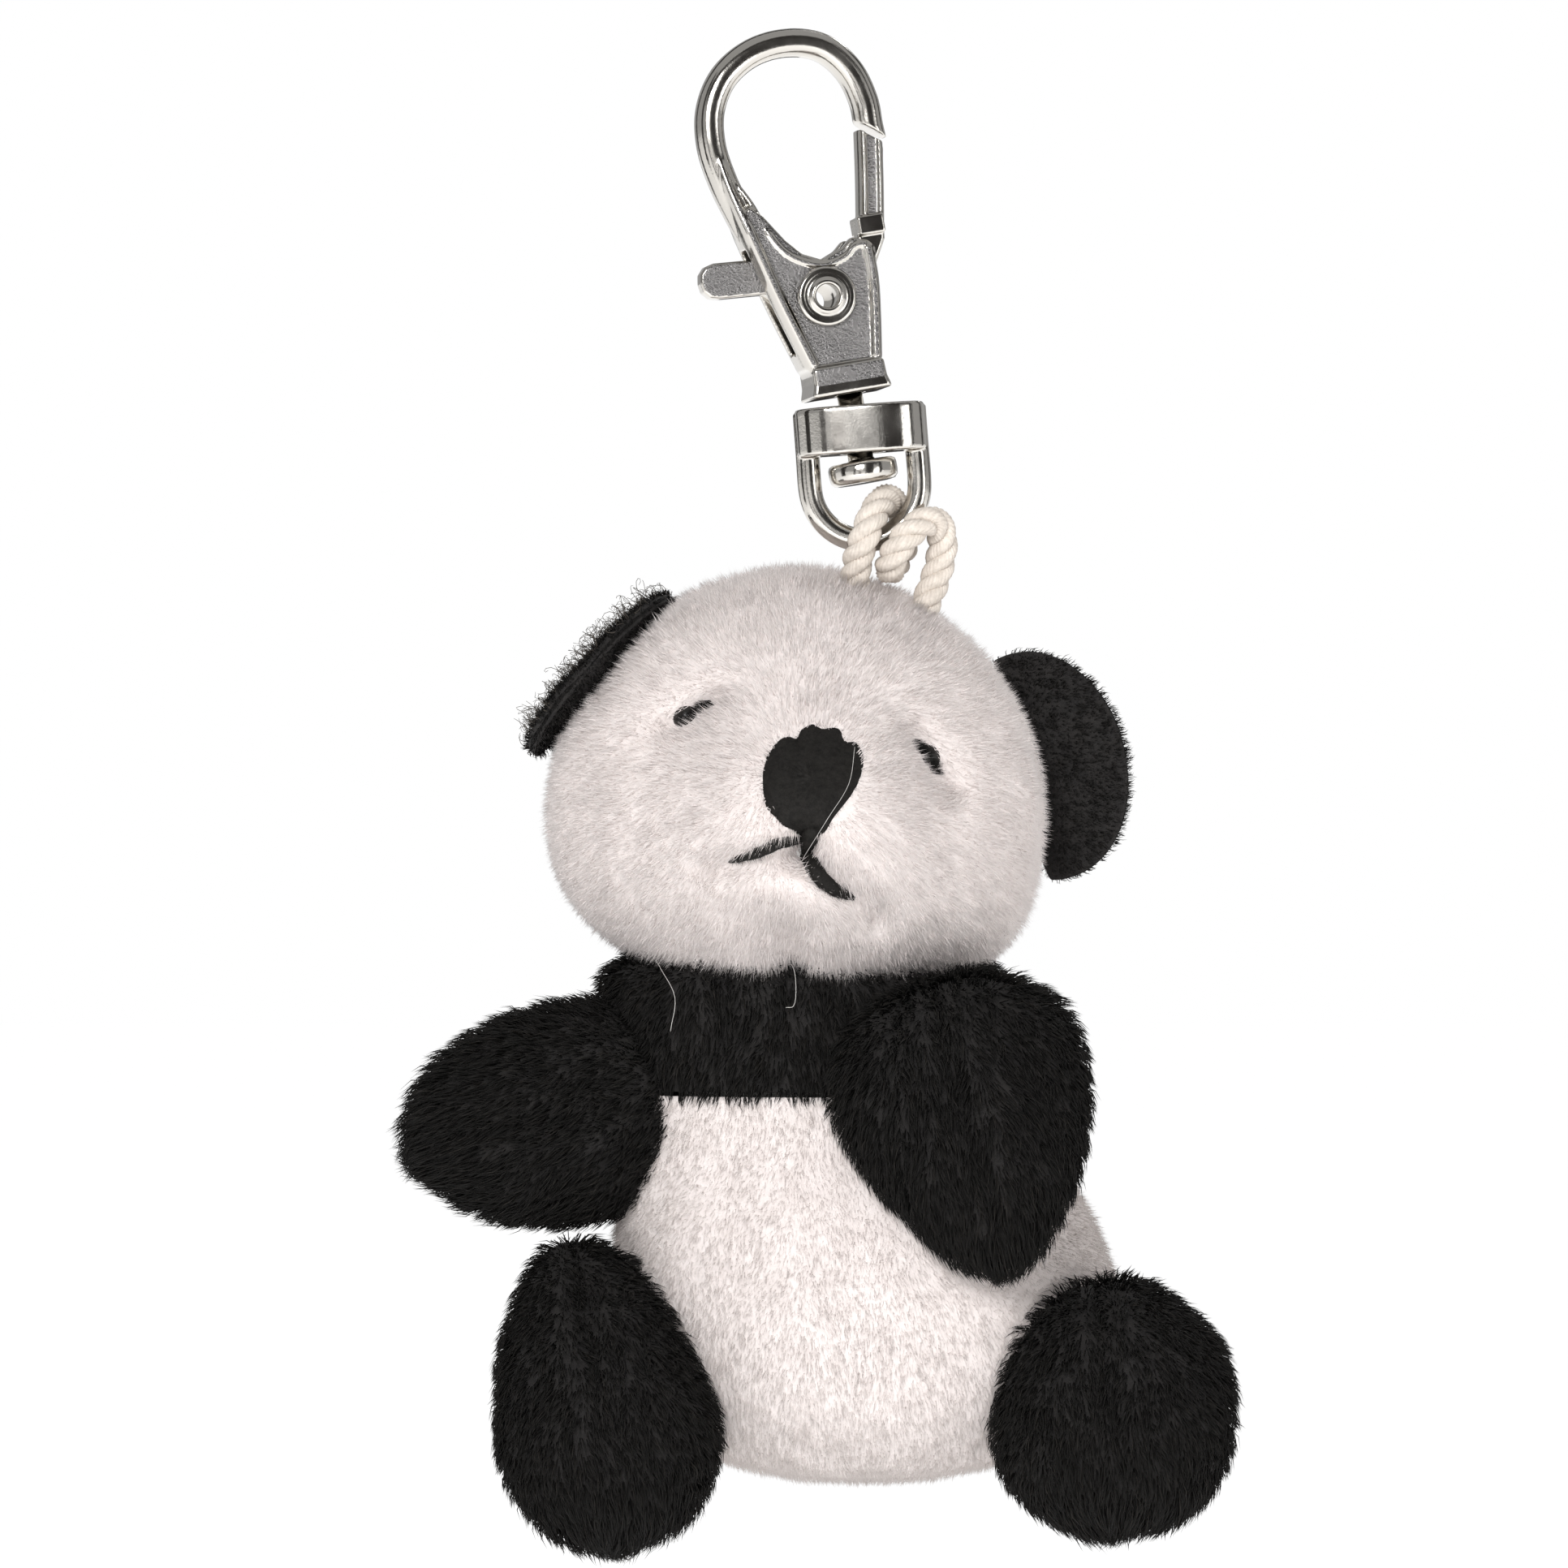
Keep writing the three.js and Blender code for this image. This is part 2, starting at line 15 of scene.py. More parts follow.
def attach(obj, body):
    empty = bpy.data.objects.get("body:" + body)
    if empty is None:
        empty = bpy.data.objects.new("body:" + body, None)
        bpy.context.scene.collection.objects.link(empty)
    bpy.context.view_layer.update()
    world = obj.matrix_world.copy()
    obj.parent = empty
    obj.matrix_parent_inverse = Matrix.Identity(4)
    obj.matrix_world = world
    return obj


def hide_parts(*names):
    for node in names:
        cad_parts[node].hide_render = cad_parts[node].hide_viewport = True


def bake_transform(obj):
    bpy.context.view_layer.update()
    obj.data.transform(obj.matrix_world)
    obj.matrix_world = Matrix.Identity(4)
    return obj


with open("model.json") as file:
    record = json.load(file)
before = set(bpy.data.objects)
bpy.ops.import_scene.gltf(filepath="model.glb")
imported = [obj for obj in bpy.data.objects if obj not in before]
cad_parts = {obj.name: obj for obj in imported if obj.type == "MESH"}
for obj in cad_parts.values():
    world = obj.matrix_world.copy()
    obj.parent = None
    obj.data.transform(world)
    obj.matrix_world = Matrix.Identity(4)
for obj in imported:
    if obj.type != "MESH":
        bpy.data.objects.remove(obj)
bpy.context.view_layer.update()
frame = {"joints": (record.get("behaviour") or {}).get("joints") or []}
MM = 0.001

# ---------- driving dimensions, in mm ----------
PLUSH_Y = 2.2
HEAD = {"at": (0.9, PLUSH_Y, -48.3), "half": (17.0, 13.2, 15.0), "roll": 9.0, "cheek": 0.1}
JOWL = 2.4  # fullness of the head below its middle, where 2 is a plain oval
MUZZLE = {"x": 0.6, "z": -3.8, "lift": 3.4, "spread": 5.6}
EYES = {"left": (-6.6, -43.9), "right": (9.2, -46.5)}
EYE_R = 1.012
EYE_SINK = 0.58  # how deep the middle of a bead lies behind the face
LID_HALF = 0.16  # half the width of the strip of dark fibres along an eyelid's slit, partly painted shade
YOKE_EDGE = -68.8
SEAT = 0.6  # height over which the torso closes below its last level
SEAM_TURN = 14.5  # degrees, the side seams lie behind the torso's middle
CLOTH = 0.5  # the woven backing
PILE_ROOM = 0.6  # the backing lies this far inside the CAD form, and the pile stands on it

# Torso levels: height, middle x, half width, half depth.
TORSO = np.array([
    [-59.4, 0.8, 10.0, 6.6], [-61.0, 0.8, 13.4, 9.0], [-66.0, 1.6, 14.8, 10.0],
    [-72.0, 3.0, 14.8, 10.6], [-78.0, 4.5, 16.6, 12.2], [-84.0, 5.4, 17.2, 13.0],
    [-89.5, 5.4, 15.2, 12.2], [-93.0, 5.2, 10.8, 8.8], [-94.4, 5.2, 5.5, 4.6],
])

# Limbs: middle, direction to the tip, half length, half width and half depth, fullness of the tip, hinge, and
# the length of the pile.
LIMBS = {
    "arm_left": {"middle": (-14.3, -0.8, -70.2), "along": (-0.95, -0.24, -0.16), "half": (11.0, 7.4, 6.0),
                 "taper": -0.02, "hinge": (-8.5, 0, -68.5), "pile": 2.1},
    "arm_right": {"middle": (12.1, -8.6, -70.6), "along": (0.26, -0.35, -0.9), "half": (10.2, 8.2, 6.0),
                  "taper": -0.32, "hinge": (14.5, -3, -65.5), "pile": 2.1},
    "leg_left": {"middle": (-12.4, -6.0, -88.1), "along": (0.19, -0.4, -0.9), "half": (10.8, 7.1, 6.6),
                 "taper": 0.3, "hinge": (-8.0, 1, -85), "pile": 1.9},
    "leg_right": {"middle": (21.3, -6.0, -89.2), "along": (0.1, -0.4, -0.91), "half": (8.7, 8.3, 7.5),
                  "taper": 0.06, "hinge": (17.0, 1, -85), "pile": 1.9},
}

# Ears: middle of the root, direction along it, direction to the rim, half length, height.
EARS = {
    "ear_left": {"hinge": (-12.2, 2.6, -41.2), "axis": (0.67, 0, 0.74), "rise": (-0.12, -0.98, 0.06),
                 "half": 7.6, "height": 8.0},
    "ear_right": {"hinge": (17.0, 6.8, -47.1), "axis": (0.25, 0, -0.97), "rise": (0.95, -0.24, 0.1),
                  "half": 8.4, "height": 6.5},
}

CORD_R = 1.0
CORD_ROUTE = [
    (4.6, 0.0, -39.6), (4.5, -0.4, -37.0), (4.5, -0.8, -34.7), (4.68, -1.5, -33.3), (5.1, -2.1, -32.0),
    (5.6, -1.85, -30.7), (6.15, -0.95, -29.75), (6.7, 0.35, -29.35), (7.35, 1.6, -29.85), (7.9, 2.1, -31.0),
    (7.75, 1.8, -32.35), (7.1, 0.85, -33.7), (6.8, -0.5, -34.0), (7.05, -1.75, -33.15), (7.85, -2.15, -31.95),
    (8.85, -2.05, -31.05), (9.75, -1.4, -30.85), (10.3, -0.5, -31.8), (10.25, 0.0, -33.2),
    (9.9, 0.1, -34.6), (9.4, 0.0, -35.9), (8.8, 0.0, -37.5), (8.2, 0.0, -39.6),
]


# ---------- vectors and curves ----------
def unit(a):
    a = np.asarray(a, float)
    return a / np.maximum(np.linalg.norm(a, axis=-1, keepdims=True), 1e-9)


def smooth_line(points, per_span=12):
    """A centripetal Catmull-Rom line through the points."""
    p = np.asarray(points, float)
    p = np.vstack([2 * p[0] - p[1], p, 2 * p[-1] - p[-2]])
    line = []
    for a, b, c, d in zip(p, p[1:], p[2:], p[3:]):
        t1 = np.linalg.norm(b - a) ** 0.5
        t2 = t1 + np.linalg.norm(c - b) ** 0.5
        t3 = t2 + np.linalg.norm(d - c) ** 0.5
        for t in np.linspace(t1, t2, per_span, endpoint=False):
            ab = a + (b - a) * t / t1
            bc = b + (c - b) * (t - t1) / (t2 - t1)
            cd = c + (d - c) * (t - t2) / (t3 - t2)
            abc = ab + (bc - ab) * t / t2
            bcd = bc + (cd - bc) * (t - t1) / (t3 - t1)
            line.append(abc + (bcd - abc) * (t - t1) / (t2 - t1))
    line.append(p[-2])
    return np.array(line)


def flat_line(path, per_span=12):
    """A smooth line through (x, z) pairs."""
    return smooth_line([(x, 0, z) for x, z in path], per_span)


def even_line(line, step):
    """The same line with points an even step apart."""
    line = np.asarray(line, float)
    run = np.concatenate([[0], np.cumsum(np.linalg.norm(np.diff(line, axis=0), axis=1))])
    at = np.linspace(0, run[-1], max(3, int(round(run[-1] / step)) + 1))
    return np.stack([np.interp(at, run, line[:, k]) for k in range(3)], axis=1)


def length_of(line):
    return float(np.linalg.norm(np.diff(line, axis=0), axis=1).sum())


def carried_frames(line, first=None):
    """Two directions square to a line at each point, carried along it without twist."""
    along = unit(np.gradient(line, axis=0))
    start = np.array(first if first is not None else (0.31, 0.87, 0.38), float)
    side = [unit(start - along[0] * (start @ along[0]))]
    for t in along[1:]:
        side.append(unit(side[-1] - t * (side[-1] @ t)))
    side = np.array(side)
    return side, np.cross(along, side)


def lumps(points, size, seed, layers=7):
    """A smooth field from -1 to 1 whose bumps are about size mm across."""
    rng = np.random.default_rng(seed)
    field = np.zeros(points.shape[:-1])
    for _ in range(layers):
        wave = unit(rng.normal(size=3)) * 2 * math.pi / (size * rng.uniform(0.7, 1.6))
        field += np.sin(points @ wave + rng.uniform(0, 2 * math.pi))
    return field / layers


# ---------- meshes ----------
def placed(name, data):
    """A new object in the scene."""
    made = bpy.data.objects.new(name, data)
    bpy.context.scene.collection.objects.link(made)
    return made


def mesh_object(name, points, faces):
    """A smooth mesh object from points in mm and lists of faces, with its normals out."""
    mesh = bpy.data.meshes.new(name)
    mesh.from_pydata((np.asarray(points) * MM).tolist(), [], [list(f) for f in faces])
    made = bmesh.new()
    made.from_mesh(mesh)
    bmesh.ops.remove_doubles(made, verts=made.verts, dist=1e-7)
    bmesh.ops.dissolve_degenerate(made, edges=made.edges, dist=1e-8)
    bmesh.ops.recalc_face_normals(made, faces=made.faces)
    for face in made.faces:
        face.smooth = True
    made.to_mesh(mesh)
    made.free()
    return placed(name, mesh)


def triangle_object(name, points, triangles, tints):
    """A large mesh object straight from arrays: points in mm, triangles, and a material number for each."""
    mesh = bpy.data.meshes.new(name)
    mesh.vertices.add(len(points))
    mesh.vertices.foreach_set("co", (points * MM).astype(np.float32).ravel())
    mesh.loops.add(triangles.size)
    mesh.loops.foreach_set("vertex_index", triangles.astype(np.int32).ravel())
    mesh.polygons.add(len(triangles))
    mesh.polygons.foreach_set("loop_start", np.arange(0, triangles.size, 3, dtype=np.int32))
    mesh.polygons.foreach_set("material_index", tints.astype(np.int32))
    mesh.polygons.foreach_set("use_smooth", np.ones(len(triangles), bool))
    mesh.update(calc_edges=True)
    return placed(name, mesh)


def grid_faces(rows, cols, wrap):
    i, j = np.meshgrid(np.arange(rows - 1), np.arange(cols if wrap else cols - 1), indexing="ij")
    k = (j + 1) % cols
    quads = np.stack([i * cols + j, i * cols + k, (i + 1) * cols + k, (i + 1) * cols + j], axis=-1)
    return quads.reshape(-1, 4)


def closed_form(name, grid):
    """A closed form from a grid that goes all the way round and ends in two poles."""
    return mesh_object(name, grid.reshape(-1, 3), grid_faces(*grid.shape[:2], True).tolist())


def shell(name, outer, inner, wrap):
    """A closed cloth shell between two grids of points of the same shape."""
    rows, cols = outer.shape[:2]
    n = rows * cols
    faces = grid_faces(rows, cols, wrap).tolist()
    faces += [[a + n for a in reversed(f)] for f in faces]
    rim = [[r * cols + j for j in range(cols)] for r in (0, rows - 1)]
    for line in rim:
        pairs = list(zip(line, line[1:] + line[:1])) if wrap else list(zip(line, line[1:]))
        faces += [[a, b, b + n, a + n] for a, b in pairs]
    if not wrap:
        for edge in ([r * cols for r in range(rows)], [r * cols + cols - 1 for r in range(rows)]):
            faces += [[a, b, b + n, a + n] for a, b in zip(edge, edge[1:])]
    points = np.concatenate([outer.reshape(-1, 3), inner.reshape(-1, 3)])
    return mesh_object(name, points, faces)


def sweep(line, section, width=None, twist=None, first=None):
    """Points and faces of a tube: a section of (side, up) pairs carried along a line, with closed ends."""
    line = np.asarray(line, float)
    section = np.asarray(section, float)
    steps, sides = len(line), len(section)
    width = np.ones(steps) if width is None else np.asarray(width, float)
    twist = np.zeros(steps) if twist is None else np.asarray(twist, float)
    side, up = carried_frames(line, first)
    c, s = np.cos(twist)[:, None], np.sin(twist)[:, None]
    a = side * c + up * s
    b = up * c - side * s
    ring = a[:, None] * section[None, :, :1] + b[:, None] * section[None, :, 1:]
    points = line[:, None] + ring * width[:, None, None]
    points = np.concatenate([points.reshape(-1, 3), line[:1], line[-1:]])
    faces = grid_faces(steps, sides, True).tolist()
    last = (steps - 1) * sides
    faces += [[(j + 1) % sides, j, steps * sides] for j in range(sides)]
    faces += [[last + j, last + (j + 1) % sides, steps * sides + 1] for j in range(sides)]
    return points, faces


def round_section(radius, sides=12, lobes=0, depth=0.0):
    a = np.linspace(0, 2 * math.pi, sides, endpoint=False)
    r = radius * (1 + depth * np.cos(lobes * a))
    return np.stack([r * np.cos(a), r * np.sin(a)], axis=1)


def bar_section(width, depth, square=2.6, sides=32):
    """A rounded bar's section, between an oval and a rectangle."""
    a = np.linspace(0, 2 * math.pi, sides, endpoint=False)
    c, s = np.cos(a), np.sin(a)
    r = (np.abs(c) ** square + np.abs(s) ** square) ** (-1 / square)
    return np.stack([width / 2 * r * c, depth / 2 * r * s], axis=1)


def gather(parts):
    """Several (points, faces) pairs as one."""
    points, faces, base = [], [], 0
    for p, f in parts:
        points.append(p)
        faces += [[i + base for i in face] for face in f]
        base += len(p)
    return np.concatenate(points), faces


# ---------- materials ----------
def link(tree, a, b):
    tree.links.new(a, b)


def principled(name, colour, roughness, **sockets):
    material = bpy.data.materials.new(name)
    material.use_nodes = True
    shader = material.node_tree.nodes["Principled BSDF"]
    shader.inputs["Base Color"].default_value = (*colour, 1)
    shader.inputs["Roughness"].default_value = roughness
    for socket, value in sockets.items():
        shader.inputs[socket.replace("_", " ")].default_value = value
    return material


def noise(tree, scale, detail=4.0, rough=0.6):
    place = tree.nodes.new("ShaderNodeTexCoord")
    made = tree.nodes.new("ShaderNodeTexNoise")
    made.inputs["Scale"].default_value = scale
    made.inputs["Detail"].default_value = detail
    made.inputs["Roughness"].default_value = rough
    link(tree, place.outputs["Object"], made.inputs["Vector"])
    return made


def ramp(tree, source, low, high, at=(0.3, 0.7)):
    made = tree.nodes.new("ShaderNodeMapRange")
    made.inputs["From Min"].default_value = at[0]
    made.inputs["From Max"].default_value = at[1]
    made.inputs["To Min"].default_value = low
    made.inputs["To Max"].default_value = high
    link(tree, source, made.inputs["Value"])
    return made.outputs["Result"]


def tone(tree, source, dark, light):
    made = tree.nodes.new("ShaderNodeValToRGB")
    made.color_ramp.elements[0].position = 0.3
    made.color_ramp.elements[1].position = 0.7
    made.color_ramp.elements[0].color = (*dark, 1)
    made.color_ramp.elements[1].color = (*light, 1)
    link(tree, source, made.inputs["Fac"])
    return made.outputs["Color"]


def bump(tree, source, strength, distance):
    made = tree.nodes.new("ShaderNodeBump")
    made.inputs["Strength"].default_value = strength
    made.inputs["Distance"].default_value = distance
    link(tree, source, made.inputs["Height"])
    shader = tree.nodes["Principled BSDF"]
    link(tree, made.outputs["Normal"], shader.inputs["Normal"])


def shader_of(material):
    tree = material.node_tree
    return tree, tree.nodes["Principled BSDF"]


def metal(name, colour, rough, grain, grain_size, relief=0.04):
    """Plated metal: grain_size and relief are the size and height of its cast speckle in mm."""
    material = principled(name, colour, rough[0], Metallic=1.0)
    tree, shader = shader_of(material)
    fine = noise(tree, 1 / (grain_size * MM), 3.0)
    broad = noise(tree, 1 / (2.5 * MM), 3.0)
    link(tree, ramp(tree, broad.outputs["Fac"], *rough), shader.inputs["Roughness"])
    bump(tree, fine.outputs["Fac"], grain, relief * MM)
    return material


def fibrous(material, dark, light, blotch, grain, rough, strength, relief):
    """Blotches of two tones over a fine grain. blotch and grain are each a size in mm and a detail."""
    tree, shader = shader_of(material)
    patch = noise(tree, 1 / (blotch[0] * MM), blotch[1], 0.7)
    link(tree, tone(tree, patch.outputs["Fac"], dark, light), shader.inputs["Base Color"])
    fine = noise(tree, 1 / (grain[0] * MM), grain[1], 0.7)
    link(tree, ramp(tree, fine.outputs["Fac"], *rough), shader.inputs["Roughness"])
    bump(tree, fine.outputs["Fac"], strength, relief * MM)
    return material


def backing(name, dark, light, weave):
    """The knitted backing under a pile, with its matted roots."""
    material = principled(name, light, 0.95)
    return fibrous(material, dark, light, (1.6, 5.0), (weave, 4.0), (0.85, 1.0), 0.8, 0.12)


def yarn(name, dark, light, size):
    material = principled(name, light, 0.75, Specular_IOR_Level=0.2)
    return fibrous(material, dark, light, (size, 4.0), (0.09, 3.0), (0.6, 0.9), 0.6, 0.04)


def pile_tints(name, colours, roughness, **sockets):
    return [principled(f"{name}_{i}", c, roughness, **sockets) for i, c in enumerate(colours)]


NICKEL = metal("nickel", (0.6, 0.575, 0.535), (0.10, 0.2), 0.15, 0.2)
NICKEL_CAST = metal("nickel_cast", (0.22, 0.213, 0.21), (0.18, 0.32), 1.0, 0.17, 0.075)
STEEL = metal("spring_wire", (0.55, 0.54, 0.53), (0.25, 0.4), 0.3, 0.1)
WHITE_BACKING = backing("white_backing", (0.66, 0.60, 0.58), (0.78, 0.72, 0.70), 0.22)
BLACK_BACKING = backing("black_backing", (0.006, 0.005, 0.005), (0.014, 0.012, 0.011), 0.22)
FILL = backing("fibre_fill", (0.78, 0.77, 0.75), (0.93, 0.92, 0.9), 0.4)
CORD = yarn("cord_yarn", (0.52, 0.465, 0.41), (0.72, 0.655, 0.59), 0.5)
BLACK_YARN = yarn("black_yarn", (0.004, 0.0036, 0.003), (0.014, 0.0125, 0.011), 0.35)
WHITE_PILE = pile_tints(
    "white_pile",
    [(0.83, 0.765, 0.745), (0.85, 0.785, 0.765), (0.81, 0.74, 0.72), (0.83, 0.77, 0.745)], 0.95)
# A darker copy of the white pile for the belly and back panels: painted shade, as the torso catches more
# light than the head.
TORSO_PILE_PAINTED_SHADE = pile_tints(
    "belly_pile",
    [(0.63, 0.575, 0.55), (0.65, 0.59, 0.57), (0.61, 0.55, 0.53), (0.63, 0.58, 0.555)], 0.95)
BLACK_PILE = pile_tints(
    "black_pile",
    [(0.006, 0.0055, 0.0048), (0.009, 0.008, 0.007), (0.005, 0.0045, 0.004), (0.015, 0.013, 0.011)], 0.75,
    Specular_IOR_Level=0.22)
CURLS = pile_tints("black_curls", [(0.06, 0.05, 0.04)], 0.7)
LOOSE_WHITE = pile_tints("loose_white", [(0.55, 0.53, 0.51)], 0.6)


def bead_material():
    material = principled("black_bead", (0.008, 0.006, 0.005), 0.3)
    tree, shader = shader_of(material)
    broad = noise(tree, 1 / (0.8 * MM), 2.0)
    link(tree, ramp(tree, broad.outputs["Fac"], 0.22, 0.4), shader.inputs["Roughness"])
    return material


BEAD = bead_material()


def finish_piece(piece, body, materials, replaces=(), blend=None):
    """Gives a piece its materials and its body, or bakes its place into its mesh when it has a blend, and
    hides the CAD nodes it stands for.
    """
    for material in materials:
        piece.data.materials.append(material)
    if blend:
        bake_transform(piece)
    else:
        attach(piece, body)
    if replaces:
        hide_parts(*replaces)


# ---------- camera and stage, in m ----------
LIT_POINT = (0, 0, -0.05)
CARD_MIDDLE = Vector((0, 0, -0.03))
CARD_REACH = 0.55
# Cards for the metal to reflect: turn and rise about their middle in degrees, then width and height.
DARK_CARDS = [
    (21, 0, 0.24, 0.9), (26, 3, 0.2, 0.5), (62, 0, 0.12, 1.1), (118, 0, 0.14, 1.1), (172, 0, 0.16, 1.1),
    (222, 0, 0.14, 1.1), (290, 0, 0.18, 1.1), (332, 0, 0.07, 1.1), (0, 40, 1.1, 0.2), (180, 44, 1.0, 0.18),
    (0, -40, 1.1, 0.2), (180, -48, 1.0, 0.14),
]
GREY_CARDS = [(-10, 2, 0.12, 0.5)]


def add_camera():
    data = bpy.data.cameras.new("camera")
    data.sensor_width = 36
    data.lens = 206.8
    data.clip_start = 0.01
    camera = placed("camera", data)
    camera.location = (-0.22 * MM, -0.6, -48.32 * MM)
    camera.rotation_euler = (math.pi / 2, 0, 0)
    bpy.context.scene.camera = camera


def plane(name, width, height, at, facing):
    """A flat card whose face looks towards a point."""
    corners = [(-width / 2, -height / 2, 0), (width / 2, -height / 2, 0),
               (width / 2, height / 2, 0), (-width / 2, height / 2, 0)]
    mesh = bpy.data.meshes.new(name)
    mesh.from_pydata(corners, [], [(0, 1, 2, 3)])
    card = placed(name, mesh)
    card.location = at
    card.rotation_euler = (Vector(facing) - Vector(at)).to_track_quat("Z", "Y").to_euler()
    return card


def area_light(name, at, size, power):
    """A round, white light turned to the middle of the bear."""
    data = bpy.data.lights.new(name, "AREA")
    data.shape = "DISK"
    data.size = size
    data.energy = power
    light = placed(name, data)
    light.location = at
    light.rotation_euler = (Vector(at) - Vector(LIT_POINT)).to_track_quat("Z", "Y").to_euler()


def add_cards():
    """Upright cards that only reflections show."""
    dark = principled("dark_card", (0.015, 0.013, 0.012), 1.0)
    grey = principled("grey_card", (0.2, 0.19, 0.185), 1.0)
    cards = [(dark, card) for card in DARK_CARDS] + [(grey, card) for card in GREY_CARDS]
    for i, (material, (turn, rise, width, height)) in enumerate(cards):
        a, e = math.radians(turn), math.radians(rise)
        out = Vector((math.sin(a) * math.cos(e), -math.cos(a) * math.cos(e), math.sin(e)))
        card = plane(f"reflected_card_{i}", width, height, CARD_MIDDLE + CARD_REACH * out, CARD_MIDDLE)
        card.data.materials.append(material)
        card.visible_camera = False
        card.visible_diffuse = False
        card.visible_transmission = False
        card.visible_shadow = False


def add_world():
    """White to the camera, and dimmer as a light."""
    world = bpy.data.worlds.new("studio")
    world.use_nodes = True
    tree = world.node_tree
    background = tree.nodes["Background"]
    rays = tree.nodes.new("ShaderNodeLightPath")
    level = tree.nodes.new("ShaderNodeMapRange")
    level.inputs["To Min"].default_value = 0.42
    level.inputs["To Max"].default_value = 1.0
    link(tree, rays.outputs["Is Camera Ray"], level.inputs["Value"])
    link(tree, level.outputs["Result"], background.inputs["Strength"])
    background.inputs["Color"].default_value = (1, 1, 1, 1)
    bpy.context.scene.world = world


def add_stage():
    """A pale floor under the hanging object, a pale studio round it, its lights and the reflected cards."""
    floor = plane("floor", 8, 8, (0, 0, -0.17), (0, 0, 1))
    pale = principled("pale_floor", (0.9, 0.9, 0.9), 0.9, Emission_Color=(1, 1, 1, 1), Emission_Strength=0.62)
    floor.data.materials.append(pale)
    add_cards()
    area_light("key", (-0.11, -0.57, 0.15), 0.24, 2.9)
    area_light("fill", (0.5, -0.38, -0.08), 0.4, 0.9)
    area_light("rim", (0.15, 0.5, 0.4), 0.3, 1.6)
    add_world()
    bpy.context.scene.view_settings.view_transform = "Standard"


# ---------- cord ----------
def add_cord():
    """Three plies laid together, each with the ridges of its own yarns."""
    line = even_line(smooth_line(CORD_ROUTE), 0.1)
    side, up = carried_frames(line)
    run = np.linspace(0, length_of(line), len(line))
    ply = CORD_R * 0.5
    lay = 4.0  # mm along the cord for one turn of the plies
    parts = []
    for i in range(3):
        turn = 2 * math.pi * (run / lay + i / 3)
        offset = (CORD_R - ply) * (side * np.cos(turn)[:, None] + up * np.sin(turn)[:, None])
        swell = 1 + 0.03 * np.sin(run * 2.1 + i * 2)
        parts.append(sweep(line + offset, round_section(ply, 27, 9, 0.1), swell, -2.2 * turn))
    cord = mesh_object("cord", *gather(parts))
    finish_piece(cord, None, [CORD], ["cord_loop"],
                 ("loop", "plush", (0.0075, 0, -0.0342), (0.0070, 0, -0.0372)))


add_camera()
add_stage()
add_cord()


# ---------- cast metal, made in the clasp's own frame in mm ----------
def raw_object(name, points, faces):
    """A mesh object left in mm, to be joined and cut."""
    return mesh_object(name, np.asarray(points) / MM, faces)


def evaluated(piece):
    """Applies a piece's modifiers."""
    graph = bpy.context.evaluated_depsgraph_get()
    mesh = bpy.data.meshes.new_from_object(piece.evaluated_get(graph))
    old = piece.data
    piece.modifiers.clear()
    piece.data = mesh
    bpy.data.meshes.remove(old)


def carve(piece, *cutters):
    for cutter in cutters:
        modifier = piece.modifiers.new("cut", "BOOLEAN")
        modifier.operation = "DIFFERENCE"
        modifier.solver = "EXACT"
        modifier.object = cutter
        evaluated(piece)
    return piece


def rounded_plate(name, outline, depth, bevel, segments=3, y=0.0):
    """A plate cut to an outline in X and Z with rounded edges."""
    n = len(outline)
    points = [(x, y - depth / 2, z) for x, z in outline] + [(x, y + depth / 2, z) for x, z in outline]
    faces = [list(range(n)), list(range(2 * n - 1, n - 1, -1))]
    faces += [[i, i + n, (i + 1) % n + n, (i + 1) % n] for i in range(n)]
    piece = raw_object(name, points, faces)
    if bevel:
        modifier = piece.modifiers.new("edges", "BEVEL")
        modifier.width = bevel
        modifier.segments = segments
        modifier.limit_method = "ANGLE"
        modifier.angle_limit = math.radians(50)
        evaluated(piece)
    return piece


def block(name, width, depth, height, at, bevel=0.0):
    x, y, z = at
    w, h = width / 2, height / 2
    outline = [(x - w, z - h), (x + w, z - h), (x + w, z + h), (x - w, z + h)]
    return rounded_plate(name, outline, depth, bevel, y=y)


def lathe(profile, centre, axis="z", sides=64):
    """Points and faces of a turned piece: (radius, height) pairs of a closed profile."""
    a = np.linspace(0, 2 * math.pi, sides, endpoint=False)
    rings = []
    for r, h in profile:
        c, s, level = r * np.cos(a), r * np.sin(a), np.full(sides, h)
        rings.append(np.stack([c, s, level] if axis == "z" else [c, level, s], axis=1))
    points = np.concatenate(rings) + np.asarray(centre, float)
    n = len(profile)
    faces = []
    for i in range(n):
        k = (i + 1) % n
        faces += [[i * sides + j, i * sides + (j + 1) % sides, k * sides + (j + 1) % sides, k * sides + j]
                  for j in range(sides)]
    return points, faces


def rod(name, radius, length, axis, at, sides=48):
    half = length / 2
    points, faces = lathe([(0, -half), (radius, -half), (radius, half), (0, half)], at, axis, sides)
    return raw_object(name, points, faces)


def arc(x, z, radius, start, end, steps=8):
    """Points of an arc in X and Z, by angles in degrees."""
    return [(x + radius * math.cos(math.radians(a)), z + radius * math.sin(math.radians(a)))
            for a in np.linspace(start, end, steps)]


